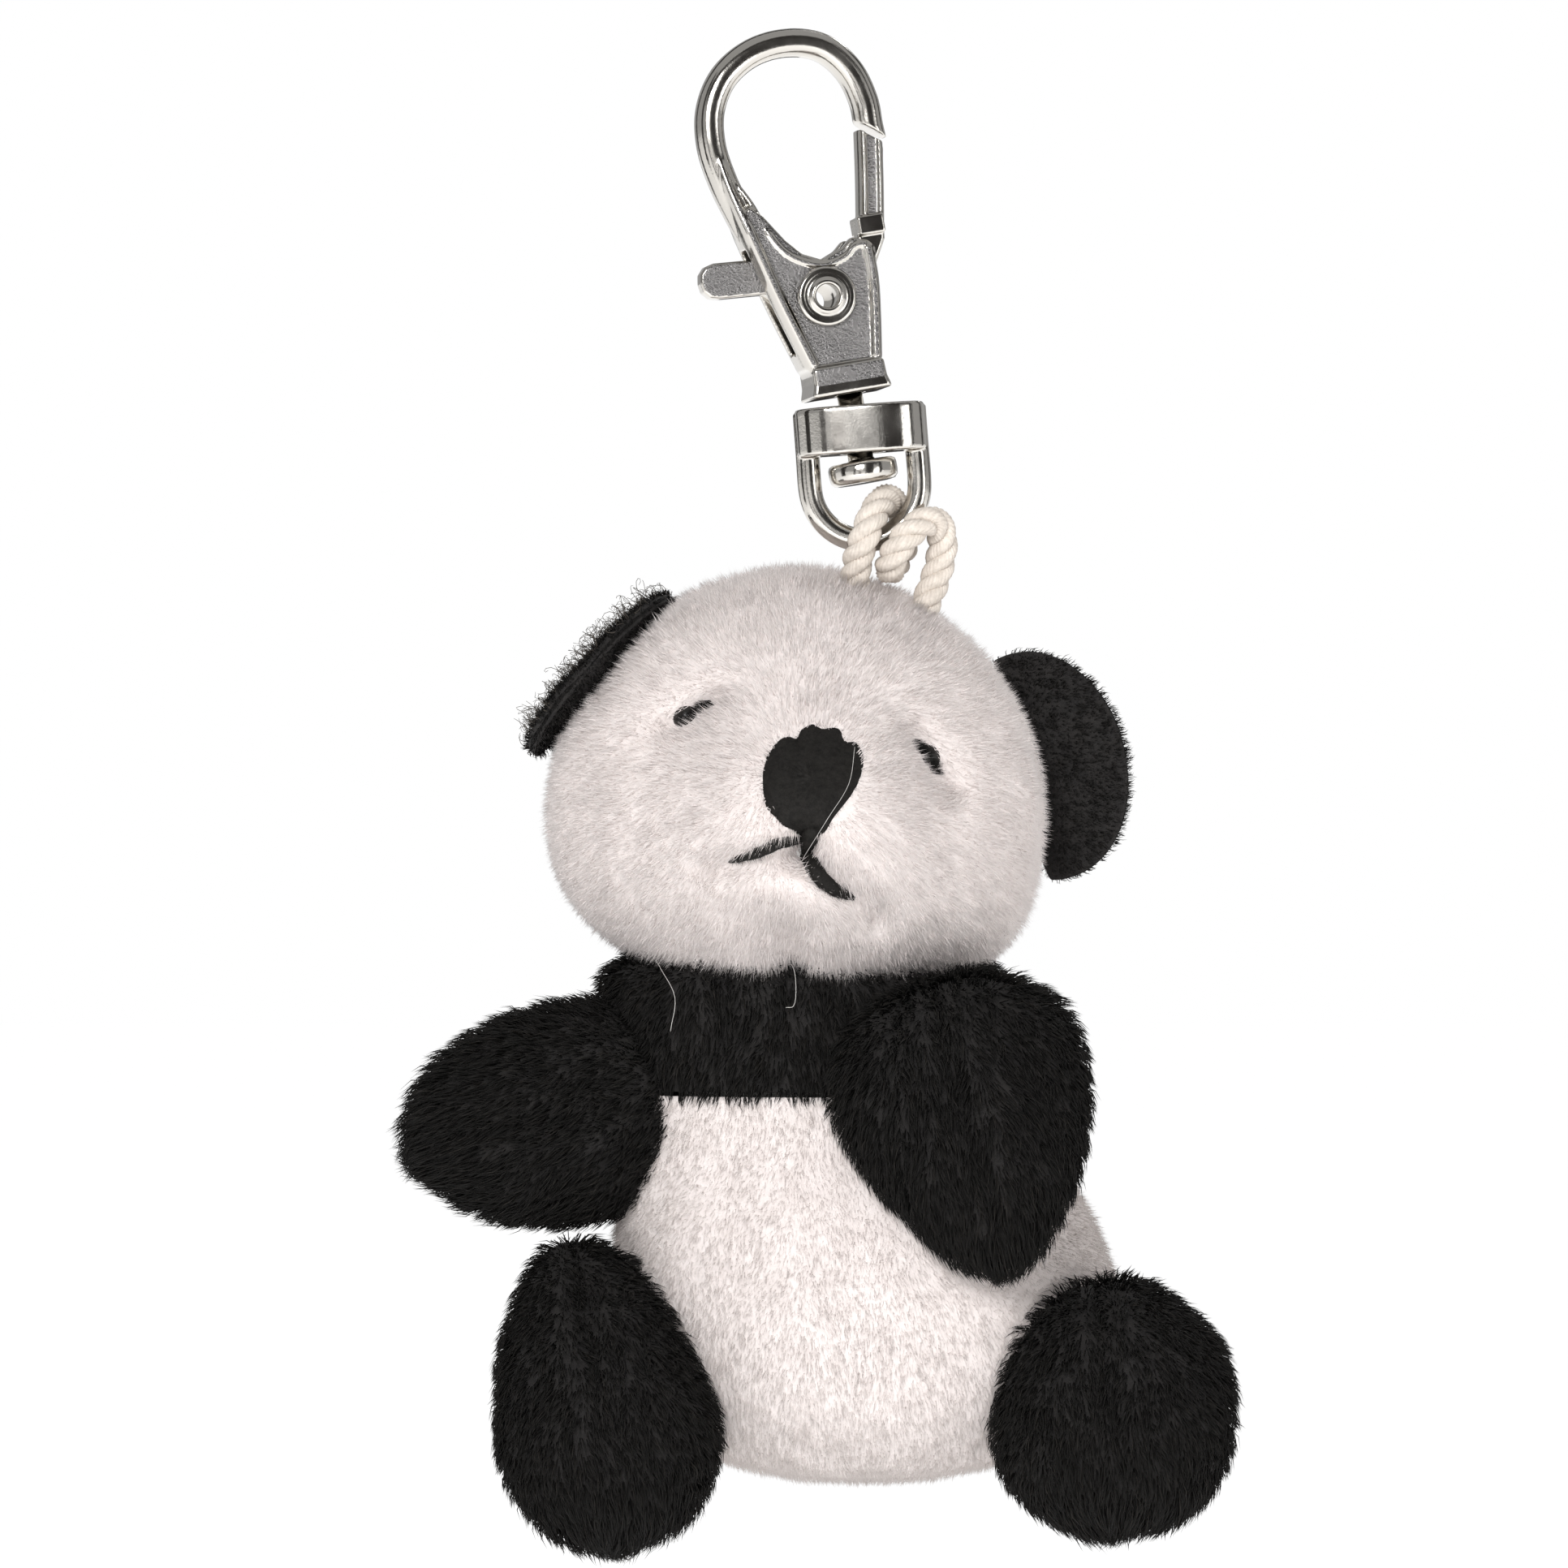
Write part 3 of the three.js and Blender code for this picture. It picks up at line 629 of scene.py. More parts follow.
def fuse(name, parts, voxel, smoothing, basis, cast=None):
    """Melts closed meshes in mm into one cast piece and places it. cast picks the faces that stay grainy."""
    base = parts[0]
    made = bmesh.new()
    for part in parts:
        made.from_mesh(part.data)
    made.to_mesh(base.data)
    made.free()
    for part in parts[1:]:
        bpy.data.objects.remove(part)
    remesh = base.modifiers.new("melt", "REMESH")
    remesh.mode = "VOXEL"
    remesh.voxel_size = voxel
    remesh.use_smooth_shade = True
    soften = base.modifiers.new("soften", "SMOOTH")
    soften.factor = 0.5
    soften.iterations = smoothing
    evaluated(base)
    mesh = base.data
    if cast:
        for polygon in mesh.polygons:
            polygon.material_index = int(cast(polygon.center, polygon.normal))
    mesh.transform(basis)
    mesh.update()
    base.name = name
    return base


joint = {j["name"]: j for j in frame["joints"]}
clasp_z = Vector(joint["clasp_swivel"]["axis"])
clasp_y = -Vector(joint["gate_hinge"]["axis"])
clasp_x = clasp_y.cross(clasp_z)
CLASP = Matrix([clasp_x, clasp_y, clasp_z]).transposed().to_4x4() @ Matrix.Scale(MM, 4)
RING_AT = Vector((4.88, 0, -24.7)) * MM
RING_BASIS = Matrix.Translation(RING_AT) @ Matrix.Rotation(math.radians(-4.3), 4, "Y") @ Matrix.Scale(MM, 4)

BODY_DEPTH = 4.2
TIP_TILT = 36.5  # degrees, the slanted gap between the hook's tip and the gate
RIVET = {"x": -0.65, "z": -16.16}
# The hook's centre line, then the outlines of the plate and the lever, all (x, z).
HOOK_PATH = [
    (4.72, -6.6), (4.65, -5.3), (4.62, -3.6), (3.95, -1.4), (2.4, 0.35), (0.2, 1.02), (-2.3, 0.75),
    (-4.5, -0.55), (-5.8, -2.6), (-6.15, -4.9), (-5.8, -7.4), (-5.05, -9.9), (-4.2, -12.4), (-3.4, -15.4),
]
BODY_OUTLINE = [
    (-5.5, -10.4), (-4.0, -16.1), (-2.45, -21.2), (2.35, -21.2), (3.3, -13.4), (2.9, -12.9), (1.8, -12.5),
    (1.1, -13.1), (-0.4, -13.7), (-1.7, -13.1), (-2.7, -12.0), (-3.9, -10.2), (-4.75, -9.4),
]
LEVER_OUTLINE = [
    (3.95, -5.75), (5.3, -6.75), (4.5, -11.3), (4.3, -12.9), (3.0, -15.2), (1.3, -17.2), (-0.6, -18.1),
    (-2.5, -17.2), (-4.4, -15.3), (-7.5, -15.1), (-8.1, -14.95), (-8.5, -14.5), (-8.6, -13.9),
    (-8.5, -13.3), (-8.1, -12.85), (-7.5, -12.7), (-4.6, -12.9),
    (-2.6, -14.0), (0.6, -14.3), (2.2, -13.2), (2.75, -11.8),
]


def slanted_cutter(at):
    """A block that cuts the hook's tip or the gate's top to the slant between them."""
    cutter = block("slant", 4.0, 6, 2.0, (0, 0, 0))
    cutter.data.transform(Matrix.Translation(at) @ Matrix.Rotation(math.radians(TIP_TILT), 4, "Y"))
    return cutter


def add_hook_body():
    slot = block("slot", 12, 1.7, 7.4, (0, 0, -15.9))
    rivet_bore = rod("rivet_bore", 1.2, 8, "y", (RIVET["x"], 0, RIVET["z"]))
    stud_bore = rod("stud_bore", 1.0, 5, "z", (0.2, 0, -22.1))
    notch = slanted_cutter((4.55, 0, -6.75))
    hook = raw_object("hook", *sweep(flat_line(HOOK_PATH), bar_section(2.5, 1.9, 2.5), first=(0, 1, 0)))
    carve(hook, notch, slot)
    plate = carve(rounded_plate("plate", BODY_OUTLINE, BODY_DEPTH - 0.5, 0.15), slot, rivet_bore)
    rims = []
    left = [(-6.15, -4.4), (-5.75, -7.8), (-4.95, -11.2), (-3.7, -15.9), (-2.25, -20.6)]
    right = [(2.75, -13.3), (2.75, -15.5), (2.45, -18.0), (2.05, -20.6)]
    eye_edge = [(-5.4, -7.2), (-4.5, -9.2), (-3.8, -11.3), (-2.6, -13.1), (-0.5, -14.05), (1.1, -13.75),
                (1.9, -13.15), (2.7, -13.1)]
    for path, size, grown_by in ((left, (BODY_DEPTH, 1.15), 0.5), (right, (BODY_DEPTH, 1.15), 0.0),
                                 (eye_edge, (BODY_DEPTH - 0.2, 0.85), 0.3)):
        line = flat_line(path)
        run = np.linspace(0, 1, len(line))
        growth = np.clip(0.5 + 0.5 * run / grown_by, 0.5, 1) if grown_by else np.ones(len(line))
        rim = raw_object("rim", *sweep(line, bar_section(*size, 2.6), growth, first=(0, 1, 0)))
        rims.append(carve(rim, slot))
    flare = [(-2.45, -20.75), (-2.5, -21.9), (-2.75, -22.75), (2.75, -22.75), (2.5, -21.9), (2.45, -20.75)]
    collar = carve(rounded_plate("collar", flare, BODY_DEPTH + 0.3, 0.22), stud_bore)
    for cutter in (slot, rivet_bore, stud_bore, notch):
        bpy.data.objects.remove(cutter)

    def cast(place, normal):
        return abs(normal.y) > 0.97 and -22.0 < place.z < -9.0 and 1.6 < abs(place.y)

    body = fuse("clasp_body", [hook, plate, *rims, collar], 0.09, 3, CLASP, cast)
    finish_piece(body, "clasp", [NICKEL, NICKEL_CAST], ["hook_body"])


def add_gate():
    bore = rod("bore", 1.25, 8, "y", (RIVET["x"], 0, RIVET["z"]))
    pocket = rod("pocket", 1.95, 1.4, "y", (RIVET["x"], -0.75, RIVET["z"]))
    lever = carve(rounded_plate("lever", LEVER_OUTLINE, 1.4, 0.2), bore, pocket)
    arm_line = flat_line([(4.55, -5.6), (4.1, -8.7), (3.62, -11.6)])
    section = bar_section(2.5, 1.75, 3.2, 48)
    valley = 0.3 * np.clip(1 - (np.abs(section[:, 1]) / 0.5) ** 4, 0, 1)
    section[:, 0] -= np.sign(section[:, 0]) * valley
    arm = raw_object("arm", *sweep(arm_line, section, first=(0, 1, 0)))
    top = slanted_cutter((5.05, 0, -5.15))
    carve(arm, top)
    step = block("step", 1.8, 2.6, 1.25, (3.42, 0, -11.85), 0.12)
    for cutter in (bore, pocket, top):
        bpy.data.objects.remove(cutter)

    def cast(place, normal):
        return abs(normal.y) > 0.95 and (place.x < -3.5 or (place.z > -11.1 and abs(place.y) < 1.1))

    gate = fuse("gate", [lever, arm, step], 0.07, 1, CLASP, cast)
    finish_piece(gate, "gate", [NICKEL, NICKEL_CAST], ["gate_lever"])


def mirrored(profile):
    """A turned profile closed by its own mirror image about the middle."""
    return [*profile, *[(r, -h) for r, h in profile[:0:-1]]]


def place_turned(name, points, faces, basis):
    piece = raw_object(name, points, faces)
    piece.data.transform(basis)
    return piece


def add_rivet():
    face = BODY_DEPTH / 2
    head = [(1.08, 0), (0.8, 0.25), (0.8, 0.42), (0.92, 0.52), (1.08, 0.5), (1.2, 0.34), (1.32, 0.26),
            (1.55, 0.28), (1.78, 0.33), (1.93, 0.27), (2.0, 0.15), (1.96, 0.03), (1.17, 0.02)]
    half = [(1.08, 0), *[(r, face + h) for r, h in head], (1.17, 0)]
    turned = lathe(mirrored(half), (RIVET["x"], 0, RIVET["z"]), "y")
    rivet = place_turned("rivet", *turned, CLASP)
    finish_piece(rivet, "clasp", [NICKEL], ["pivot_rivet"])


def add_spring():
    turns, wire, radius = 2.6, 0.1, 1.58
    a = np.linspace(0, 2 * math.pi * turns, 120)
    y = np.linspace(-0.62, -0.2, len(a))
    coil = np.stack([RIVET["x"] + radius * np.cos(a), y, RIVET["z"] + radius * np.sin(a)], axis=1)
    spring = place_turned("spring", *sweep(coil, round_section(wire, 8)), CLASP)
    finish_piece(spring, "clasp", [STEEL], ["gate_spring"])


def add_stud():
    profile = [(0, -28.75), (1.7, -28.75), (2.05, -28.68), (2.25, -28.45), (2.3, -28.1), (2.3, -27.6),
               (2.22, -27.38), (2.0, -27.27), (0.95, -27.25), (0.85, -27.1), (0.85, -20.2), (0, -20.2)]
    stud = place_turned("stud", *lathe(profile, (0.2, 0, 0)), CLASP)
    finish_piece(stud, "clasp", [NICKEL], ["swivel_stud"])


def add_ring():
    half, bar_r = 3.65, 0.8
    path = [(-half, 1.3), (-half, -1.2), *arc(0, -3.75, half, 180, 360, 13), (half, -1.2), (half, 1.3)]
    bow = raw_object("bow", *sweep(flat_line(path, 6), round_section(bar_r, 24), first=(0, 1, 0)))
    a = np.linspace(0, 2 * math.pi, 72, endpoint=False)
    upper = [(1.0, 1.4), (0.985, 1.54), (0.93, 1.6), (0.0, 1.6)]
    ovals = [*[(r, -h) for r, h in reversed(upper)], *upper]
    full = (np.abs(np.cos(a)) ** 2.8 + np.abs(np.sin(a)) ** 2.8) ** (-1 / 2.8)
    rings = [np.stack([4.3 * r * full * np.cos(a), 2.45 * r * full * np.sin(a), np.full(72, h)], axis=1)
             for r, h in ovals]
    barrel = raw_object("barrel", np.concatenate(rings), grid_faces(len(ovals), 72, True).tolist())
    bore = rod("bore", 1.45, 8, "z", (0, 0, 0))
    carve(barrel, bore)
    carve(bow, bore)
    bpy.data.objects.remove(bore)
    ring = fuse("swivel_bow", [bow, barrel], 0.09, 3, RING_BASIS)
    finish_piece(ring, "ring", [NICKEL], ["swivel_ring"])


add_hook_body()
add_gate()
add_rivet()
add_spring()
add_stud()
add_ring()


# ---------- plush forms ----------
FILL_INSET = {"head": 2.6, "torso": 2.4, "limb": 2.2}  # the stuffing lies this far inside


def head_form(direction, grow=0.0):
    """Points of the head for unit directions in its own axes."""
    u, v, w = direction[..., 0], direction[..., 1], direction[..., 2]
    half = HEAD["half"]
    power = np.where(w < 0, JOWL, 2.0)
    full = ((u**2 + v**2) ** (power / 2) + np.abs(w) ** power) ** (-1 / power)
    u, v = u * full, v * full
    x = (half[0] + grow) * u * (1 - HEAD["cheek"] * w)
    z = (half[2] + grow) * full * w
    near = ((x - MUZZLE["x"]) ** 2 + (z - MUZZLE["z"]) ** 2) / (2 * MUZZLE["spread"] ** 2)
    lift = MUZZLE["lift"] * np.exp(-near) * np.sqrt(np.maximum(-v, 0))
    y = (half[1] + grow) * v - lift
    c, s = math.cos(math.radians(HEAD["roll"])), math.sin(math.radians(HEAD["roll"]))
    x0, y0, z0 = HEAD["at"]
    return np.stack([x0 + x * c + z * s, y0 + y, z0 - x * s + z * c], axis=-1)


# Hollows and swells of the face: from (x, z) to (x, z), depth (a swell is negative), width.
FACE = [
    ((-7.6, -44.7), (-4.4, -42.6), 1.0, 0.7),
    ((-6.8, -45.2), (-6.2, -43.9), 1.2, 2.3),
    ((8.0, -44.8), (10.6, -48.9), 1.0, 0.7),
    ((9.2, -46.4), (9.5, -47.4), 1.1, 2.0),
    ((-3.6, -50.9), (-3.0, -52.0), -1.2, 2.6),
    ((5.4, -51.6), (6.2, -53.0), -1.2, 2.6),
    ((1.2, -51.9), (0.9, -53.2), 1.1, 0.9),
    ((0.8, -52.7), (-4.8, -53.8), 1.1, 0.75),
    ((1.4, -53.0), (5.4, -56.6), 1.2, 0.85),
    ((0.3, -55.8), (0.8, -56.6), -1.0, 1.9),
    ((0.4, -60.2), (0.3, -58.0), 1.7, 0.9),
    ((-11.0, -53.0), (-9.5, -55.0), -0.5, 3.2),
    ((11.5, -55.0), (12.5, -54.0), -0.5, 3.2),
]


def near_segment(points, a, b):
    """How far each point lies from a stretch of the face between two (x, z) places."""
    run = np.array([b[0] - a[0], b[1] - a[1]])
    x, z = points[..., 0] - a[0], points[..., 2] - a[1]
    t = np.clip((x * run[0] + z * run[1]) / (run @ run), 0, 1)
    return np.hypot(x - t * run[0], z - t * run[1])


def face_depth(points):
    """How far the face lies behind its plain form at each point."""
    depth = np.zeros(points.shape[:-1])
    for a, b, deep, wide in FACE:
        depth += deep * np.exp(-(near_segment(points, a, b) ** 2) / (2 * wide**2))
    return depth


def head_panel(sign, grow):
    """A grid over the front (-1) or back (1) half of the head, from its pole to the seam."""
    rows, cols = 72, 168
    polar = np.linspace(0, math.pi / 2 - 0.012, rows)[:, None]
    round_ = np.linspace(0, 2 * math.pi, cols, endpoint=False)[None, :]
    direction = np.stack([np.sin(polar) * np.cos(round_), sign * np.cos(polar) + 0 * round_,
                          np.sin(polar) * np.sin(round_)], axis=-1)
    seam = 0.55 * np.exp(-((math.pi / 2 - polar) / 0.06) ** 2)
    points = head_form(direction, grow)
    points -= (seam * np.ones(cols))[..., None] * unit(direction)
    points += (lumps(points, 7.0, 5) * 0.25)[..., None] * direction
    if sign < 0:
        points[..., 1] += face_depth(points) * np.clip(-direction[..., 1] * 2.5, 0, 1)
    return points


def face_y(x, z):
    """The front panel's surface at a place on the face, found on its own grid."""
    flat = FACE_GRID[..., [0, 2]].reshape(-1, 2)
    depth = FACE_GRID[..., 1].reshape(-1)
    d2 = ((flat - np.array([x, z])) ** 2).sum(axis=1)
    near = np.argsort(d2)[:6]
    weight = 1 / (d2[near] + 1e-3)
    return float((depth[near] * weight).sum() / weight.sum())


FACE_GRID = head_panel(-1, -PILE_ROOM)


def torso_level(z):
    """The torso's middle x, half width and half depth at heights z."""
    halves = smooth_line(TORSO[:, [0, 2, 3]], 24)
    middle = smooth_line(TORSO[:, [0, 1, 1]], 24)
    halves = halves[np.argsort(halves[:, 0])]
    middle = middle[np.argsort(middle[:, 0])]
    return (np.interp(z, middle[:, 0], middle[:, 1]),
            np.interp(z, halves[:, 0], halves[:, 1]),
            np.interp(z, halves[:, 0], halves[:, 2]))


def torso_panel(z_rows, turns, grow, seams):
    """A grid over the torso between two turns in degrees; z_rows run down it and may close on the seat."""
    z = np.asarray(z_rows, float)[:, None]
    a = np.radians(np.asarray(turns, float))[None, :]
    x0, half_w, half_d = torso_level(np.maximum(z, TORSO[-1, 0]))
    close = np.clip((z - (TORSO[-1, 0] - SEAT)) / SEAT, 0, 1) ** 0.5
    w = (half_w + grow) * close
    d = (half_d + grow) * close
    points = np.stack([x0 + w * np.cos(a), PLUSH_Y + d * np.sin(a), z - grow * (1 - close) + 0 * a], axis=-1)
    out = np.stack([np.cos(a) + 0 * z, np.sin(a) + 0 * z, 0 * (a + z)], axis=-1)
    valley = np.zeros(points.shape[:2])
    for turn in seams:
        off = (np.degrees(a) - turn + 180) % 360 - 180
        valley += 0.5 * np.exp(-((off / 3.5) ** 2)) * close
    points -= valley[..., None] * out
    points += (lumps(points, 8.0, 11) * 0.3 * close)[..., None] * out
    return points


SEAMS = (SEAM_TURN, 180 - SEAM_TURN)
BACK_TURNS = np.linspace(SEAM_TURN + 0.6, 180 - SEAM_TURN - 0.6, 96)
FRONT_TURNS = np.linspace(SEAM_TURN - 0.6, -(180 + SEAM_TURN - 0.6), 132)
LOWER_ROWS = np.concatenate([np.linspace(YOKE_EDGE - 0.15, -92.5, 64), np.linspace(-92.8, TORSO[-1, 0], 10),
                             TORSO[-1, 0] - SEAT * np.linspace(0.05, 1, 8)])
YOKE_ROWS = np.linspace(YOKE_EDGE + 0.15, TORSO[0, 0] + 2.0, 36)


def limb_axes(limb):
    along = unit(limb["along"])
    side = unit(np.cross((0, 1, 0), along))
    return along, side, np.cross(along, side)


def limb_panel(limb, grow, seed):
    """A grid over a whole limb from the root's pole to the tip's."""
    rows, cols = 56, 96
    along, side, front = limb_axes(limb)
    polar = np.linspace(math.pi, 0, rows)[:, None]
    round_ = np.linspace(0, 2 * math.pi, cols, endpoint=False)[None, :]
    w = np.cos(polar) + 0 * round_
    full = 1 + limb["taper"] * w
    blunt = np.sin(polar) ** 0.88
    u, v = blunt * np.cos(round_), blunt * np.sin(round_)
    length, width, depth = limb["half"]
    out = u[..., None] * side + v[..., None] * front + w[..., None] * along
    points = np.asarray(limb["middle"]) + ((width + grow) * full * u)[..., None] * side
    points = points + ((depth + grow) * full * v)[..., None] * front
    points = points + ((length + grow) * w)[..., None] * along
    seam = 0.35 * np.exp(-(((np.degrees(round_) - 270) / 6.0) ** 2)) * np.sin(polar)
    points += (lumps(points, 6.0, seed) * 0.35 - seam)[..., None] * unit(out)
    return points


def ear_axes(ear):
    along = unit(ear["axis"])
    rise = unit(np.asarray(ear["rise"]) - along * (np.asarray(ear["rise"]) @ along))
    return along, rise, np.cross(along, rise)


def ear_panel(ear, sign, seed):
    """A grid over one layer of an ear: its padded face (row 0 at the middle) out to the rim."""
    rows, cols = 30, 96
    along, rise, through = ear_axes(ear)
    r = np.linspace(0, 1, rows)[:, None]
    a = np.linspace(0, 2 * math.pi, cols, endpoint=False)[None, :]
    x = (ear["half"] - PILE_ROOM) * r * np.cos(a)
    y = (ear["height"] - PILE_ROOM) * r * np.sin(a)
    y = np.where(y < -1.2, -1.2 + 0.12 * (y + 1.2), y)
    thick = 0.85 * np.sqrt(np.maximum(0, 1 - r**2.4)) + 0 * a
    cup = -0.35 * (y / ear["height"]) ** 2 - 0.5 * (x / ear["half"]) ** 2
    z = sign * (0.08 + thick) + cup
    points = np.asarray(ear["hinge"]) + x[..., None] * along + y[..., None] * rise + z[..., None] * through
    points += (lumps(points, 4.0, seed) * 0.18)[..., None] * through
    return points


# ---------- pile ----------
# Settings for fibres(): density to a square mm, length and width in mm.
WHITE = {"density": 32, "length": 0.85, "width": 0.075, "lean": 0.5, "tuft": (0.7, 0.15), "curl": 0.3,
         "bent": False}
BLACK = {"density": 19, "width": 0.09, "lean": 0.62, "tuft": (1.5, 0.45), "curl": 0.2, "droop": 0.5}
EAR_BLACK = {"density": 34, "length": 0.75, "width": 0.065, "lean": 0.55, "tuft": (0.9, 0.35), "curl": 0.4}
# Black fibres along each eye's slit: partly the eye's own dark fibres, partly painted shade of its crease.
LASH_FIBRES_AND_PAINTED_SHADE = {"density": 260, "length": 0.7, "width": 0.06, "lean": 0.5, "curl": 0.35, "bent": False}
FUZZ = {"density": 45, "length": 0.5, "width": 0.045, "lean": 0.4, "curl": 0.7, "bent": False}


def grid_normals(grid, wrap, centre):
    """The outward direction at each point of a grid."""
    wide = np.concatenate([grid[:, -1:], grid, grid[:, :1]], axis=1) if wrap else grid
    across = np.gradient(wide, axis=1)
    across = across[:, 1:-1] if wrap else across
    down = np.gradient(grid, axis=0)
    product = np.cross(across, down)
    normal = unit(product)
    flat = np.linalg.norm(product, axis=-1) < 1e-7
    normal[flat] = unit(grid[flat] - centre)
    if ((grid - centre) * normal).sum() < 0:
        normal = -normal
    return normal


def scatter(grid, wrap, density, rng, centre):
    """Random places on a grid, density of them to a square mm, with the surface's direction at each."""
    rows, cols = grid.shape[:2]
    quads = grid_faces(rows, cols, wrap)
    tris = np.concatenate([quads[:, [0, 1, 2]], quads[:, [0, 2, 3]]])
    p = grid.reshape(-1, 3)
    n = grid_normals(grid, wrap, centre).reshape(-1, 3)
    area = np.linalg.norm(np.cross(p[tris[:, 1]] - p[tris[:, 0]], p[tris[:, 2]] - p[tris[:, 0]]), axis=1) / 2
    count = int(area.sum() * density)
    pick = rng.choice(len(tris), count, p=area / area.sum())
    a, b = rng.random(count), rng.random(count)
    flip = a + b > 1
    a, b = np.where(flip, 1 - a, a), np.where(flip, 1 - b, b)
    weights = np.stack([1 - a - b, a, b], axis=1)[..., None]
    return (p[tris[pick]] * weights).sum(axis=1), unit((n[tris[pick]] * weights).sum(axis=1))


def fibres(grid, wrap, centre, density, length, width, lean, comb, seed,
           keep=None, tuft=(1.2, 0.25), curl=0.25, droop=0.35, bent=True):
    """Points, triangles and tints of the fibres over a grid.

    lean is how far they lie down along comb, and tuft is the size and the pull of their clumps.
    """
    rng = np.random.default_rng(seed)
    root, out = scatter(grid, wrap, density, rng, np.asarray(centre, float))
    grown = np.ones(len(root)) if keep is None else keep(root)
    alive = grown > 0.05
    root, out, grown = root[alive], out[alive], grown[alive]
    count = len(root)
    flow = comb(root)
    flow = unit(flow - out * (flow * out).sum(axis=1, keepdims=True))
    swirl = np.cross(out, flow) * lumps(root, 5.0, seed + 1)[:, None]
    flow = unit(flow + 0.6 * swirl)
    stand = unit(out * (1 - lean) + flow * lean + rng.normal(size=(count, 3)) * curl * 0.6)
    bend = unit(stand + flow * droop + rng.normal(size=(count, 3)) * curl)
    size = length * grown * rng.uniform(0.65, 1.15, count) * (1 + 0.2 * lumps(root, 3.0, seed + 2))
    middle = root + stand * (size * 0.55)[:, None]
    tip = middle + bend * (size * 0.45)[:, None]
    cell_size, pull = tuft
    warped = root + lumps(root, 2.5, seed + 3)[:, None] * 0.5 * cell_size
    cell = np.floor(warped / cell_size).astype(np.int64)
    key = (cell[:, 0] * 73856093) ^ (cell[:, 1] * 19349663) ^ (cell[:, 2] * 83492791)
    _, member = np.unique(key, return_inverse=True)
    member = member.ravel()
    crowd = np.bincount(member)
    centre_tip = np.stack([np.bincount(member, tip[:, k]) / crowd for k in range(3)], axis=1)[member]
    tip += (centre_tip - tip) * pull
    middle += (centre_tip - middle) * pull * 0.25
    side = unit(np.cross(stand, rng.normal(size=(count, 3))))
    other = np.cross(stand, side)
    fat = width * rng.uniform(0.7, 1.2, count)[:, None] / 2
    ring = [side * math.cos(t) + other * math.sin(t) for t in (0, 2 * math.pi / 3, 4 * math.pi / 3)]
    foot = root - out * 0.25
    levels = [foot + r * fat for r in ring] + [middle + r * fat * 0.8 for r in ring] * bent + [tip]
    points = np.stack(levels, axis=1).reshape(-1, 3)
    top = 3 if bent else 0
    one = [[0, 2, 1]]
    for i in range(3):
        k = (i + 1) % 3
        one += [[i, k, 3 + k], [i, 3 + k, 3 + i]] * bent + [[top + i, top + k, top + 3]]
    triangles = (np.arange(count)[:, None, None] * len(levels) + np.array(one)[None]).reshape(-1, 3)
    tint = rng.choice(4, count, p=[0.45, 0.3, 0.15, 0.1])
    return points, triangles, np.repeat(tint, len(one))


def add_pile(name, grid, wrap, centre, **settings):
    return triangle_object(name, *fibres(grid, wrap, centre, **settings))


def within(points, middle, half, roll):
    """How far out of an oval on the face each point lies: below 1 is inside."""
    c, s = math.cos(math.radians(roll)), math.sin(math.radians(roll))
    x, z = points[:, 0] - middle[0], points[:, 2] - middle[1]
    return np.hypot((x * c + z * s) / half[0], (-x * s + z * c) / half[1])


# Each strand of the mouth: its (x, z) path and its radius.
MOUTH = {
    "middle": ([(1.7, -51.0), (1.4, -52.0), (1.1, -52.9)], 0.62),
    "left": ([(1.0, -51.9), (-0.6, -52.2), (-1.9, -52.8), (-3.9, -53.4)], 0.42),
    "right": ([(1.1, -52.5), (1.9, -54.1), (2.9, -55.1), (4.4, -55.8)], 0.6),
}
EYELIDS = [((-7.1, -44.3), (-5.0, -42.9)), ((8.4, -45.4), (9.9, -47.6))]
# Bare ovals of the face, under the nose and over the left bead: middle, half sizes and roll in degrees.
BARE = [((1.6, -48.1), (2.9, 3.2), -12), ((-6.7, -44.0), (0.62, 0.46), -35)]


def face_keep(points):
    """The face's pile is left out in the bare ovals and shortened at the eyelids and the mouth."""
    grown = np.ones(len(points))
    front = points[:, 1] < -2
    for middle, half, roll in BARE:
        grown[front & (within(points, middle, half, roll) < 1)] = 0
    for a, b in EYELIDS:
        off = near_segment(points, a, b)
        grown = np.where(front, grown * np.clip((off - 0.22) / 0.4, 0, 1), grown)
    for path, _ in MOUTH.values():
        for a, b in zip(path, path[1:]):
            off = near_segment(points, a, b)
            grown = np.where(front, grown * np.clip(0.62 + off / 1.5, 0.62, 1.05), grown)
    return grown


# Ways to comb a pile: a direction for the fibre at each root.
def from_nose(root):
    away = root - np.array([1.2, -12.0, -49.0])
    return unit(away) + np.array([0, 0, -0.35])


def straight(direction):
    return lambda root: np.asarray(direction, float) + 0 * root


DOWNWARD = straight((0.0, -0.1, -1.0))


def ragged_tip(limb):
    """Longer tufts towards a limb's tip, and none inside the torso or the head."""
    along = limb_axes(limb)[0]

    def keep(points):
        far = (points - np.asarray(limb["middle"])) @ along / limb["half"][0]
        return clear_of_torso(points) * (1 + 0.45 * np.clip((far - 0.55) / 0.4, 0, 1))

    return keep


def clear_of_torso(points, depth=1.2):
    """Fibres whose roots lie deep inside the torso or the head aren't grown."""
    x0, half_w, half_d = torso_level(np.clip(points[:, 2], TORSO[-1, 0], TORSO[0, 0]))
    across = (points[:, 0] - x0) / (half_w - depth)
    deep = (points[:, 1] - PLUSH_Y) / (half_d - depth)
    inside = across**2 + deep**2 < 1
    inside &= (points[:, 2] < TORSO[0, 0]) & (points[:, 2] > TORSO[-1, 0] + 1)
    head = ((points - np.asarray(HEAD["at"])) / (np.asarray(HEAD["half"]) - 1.0)) ** 2
    inside |= head.sum(axis=1) < 1
    return np.where(inside, 0.0, 1.0)


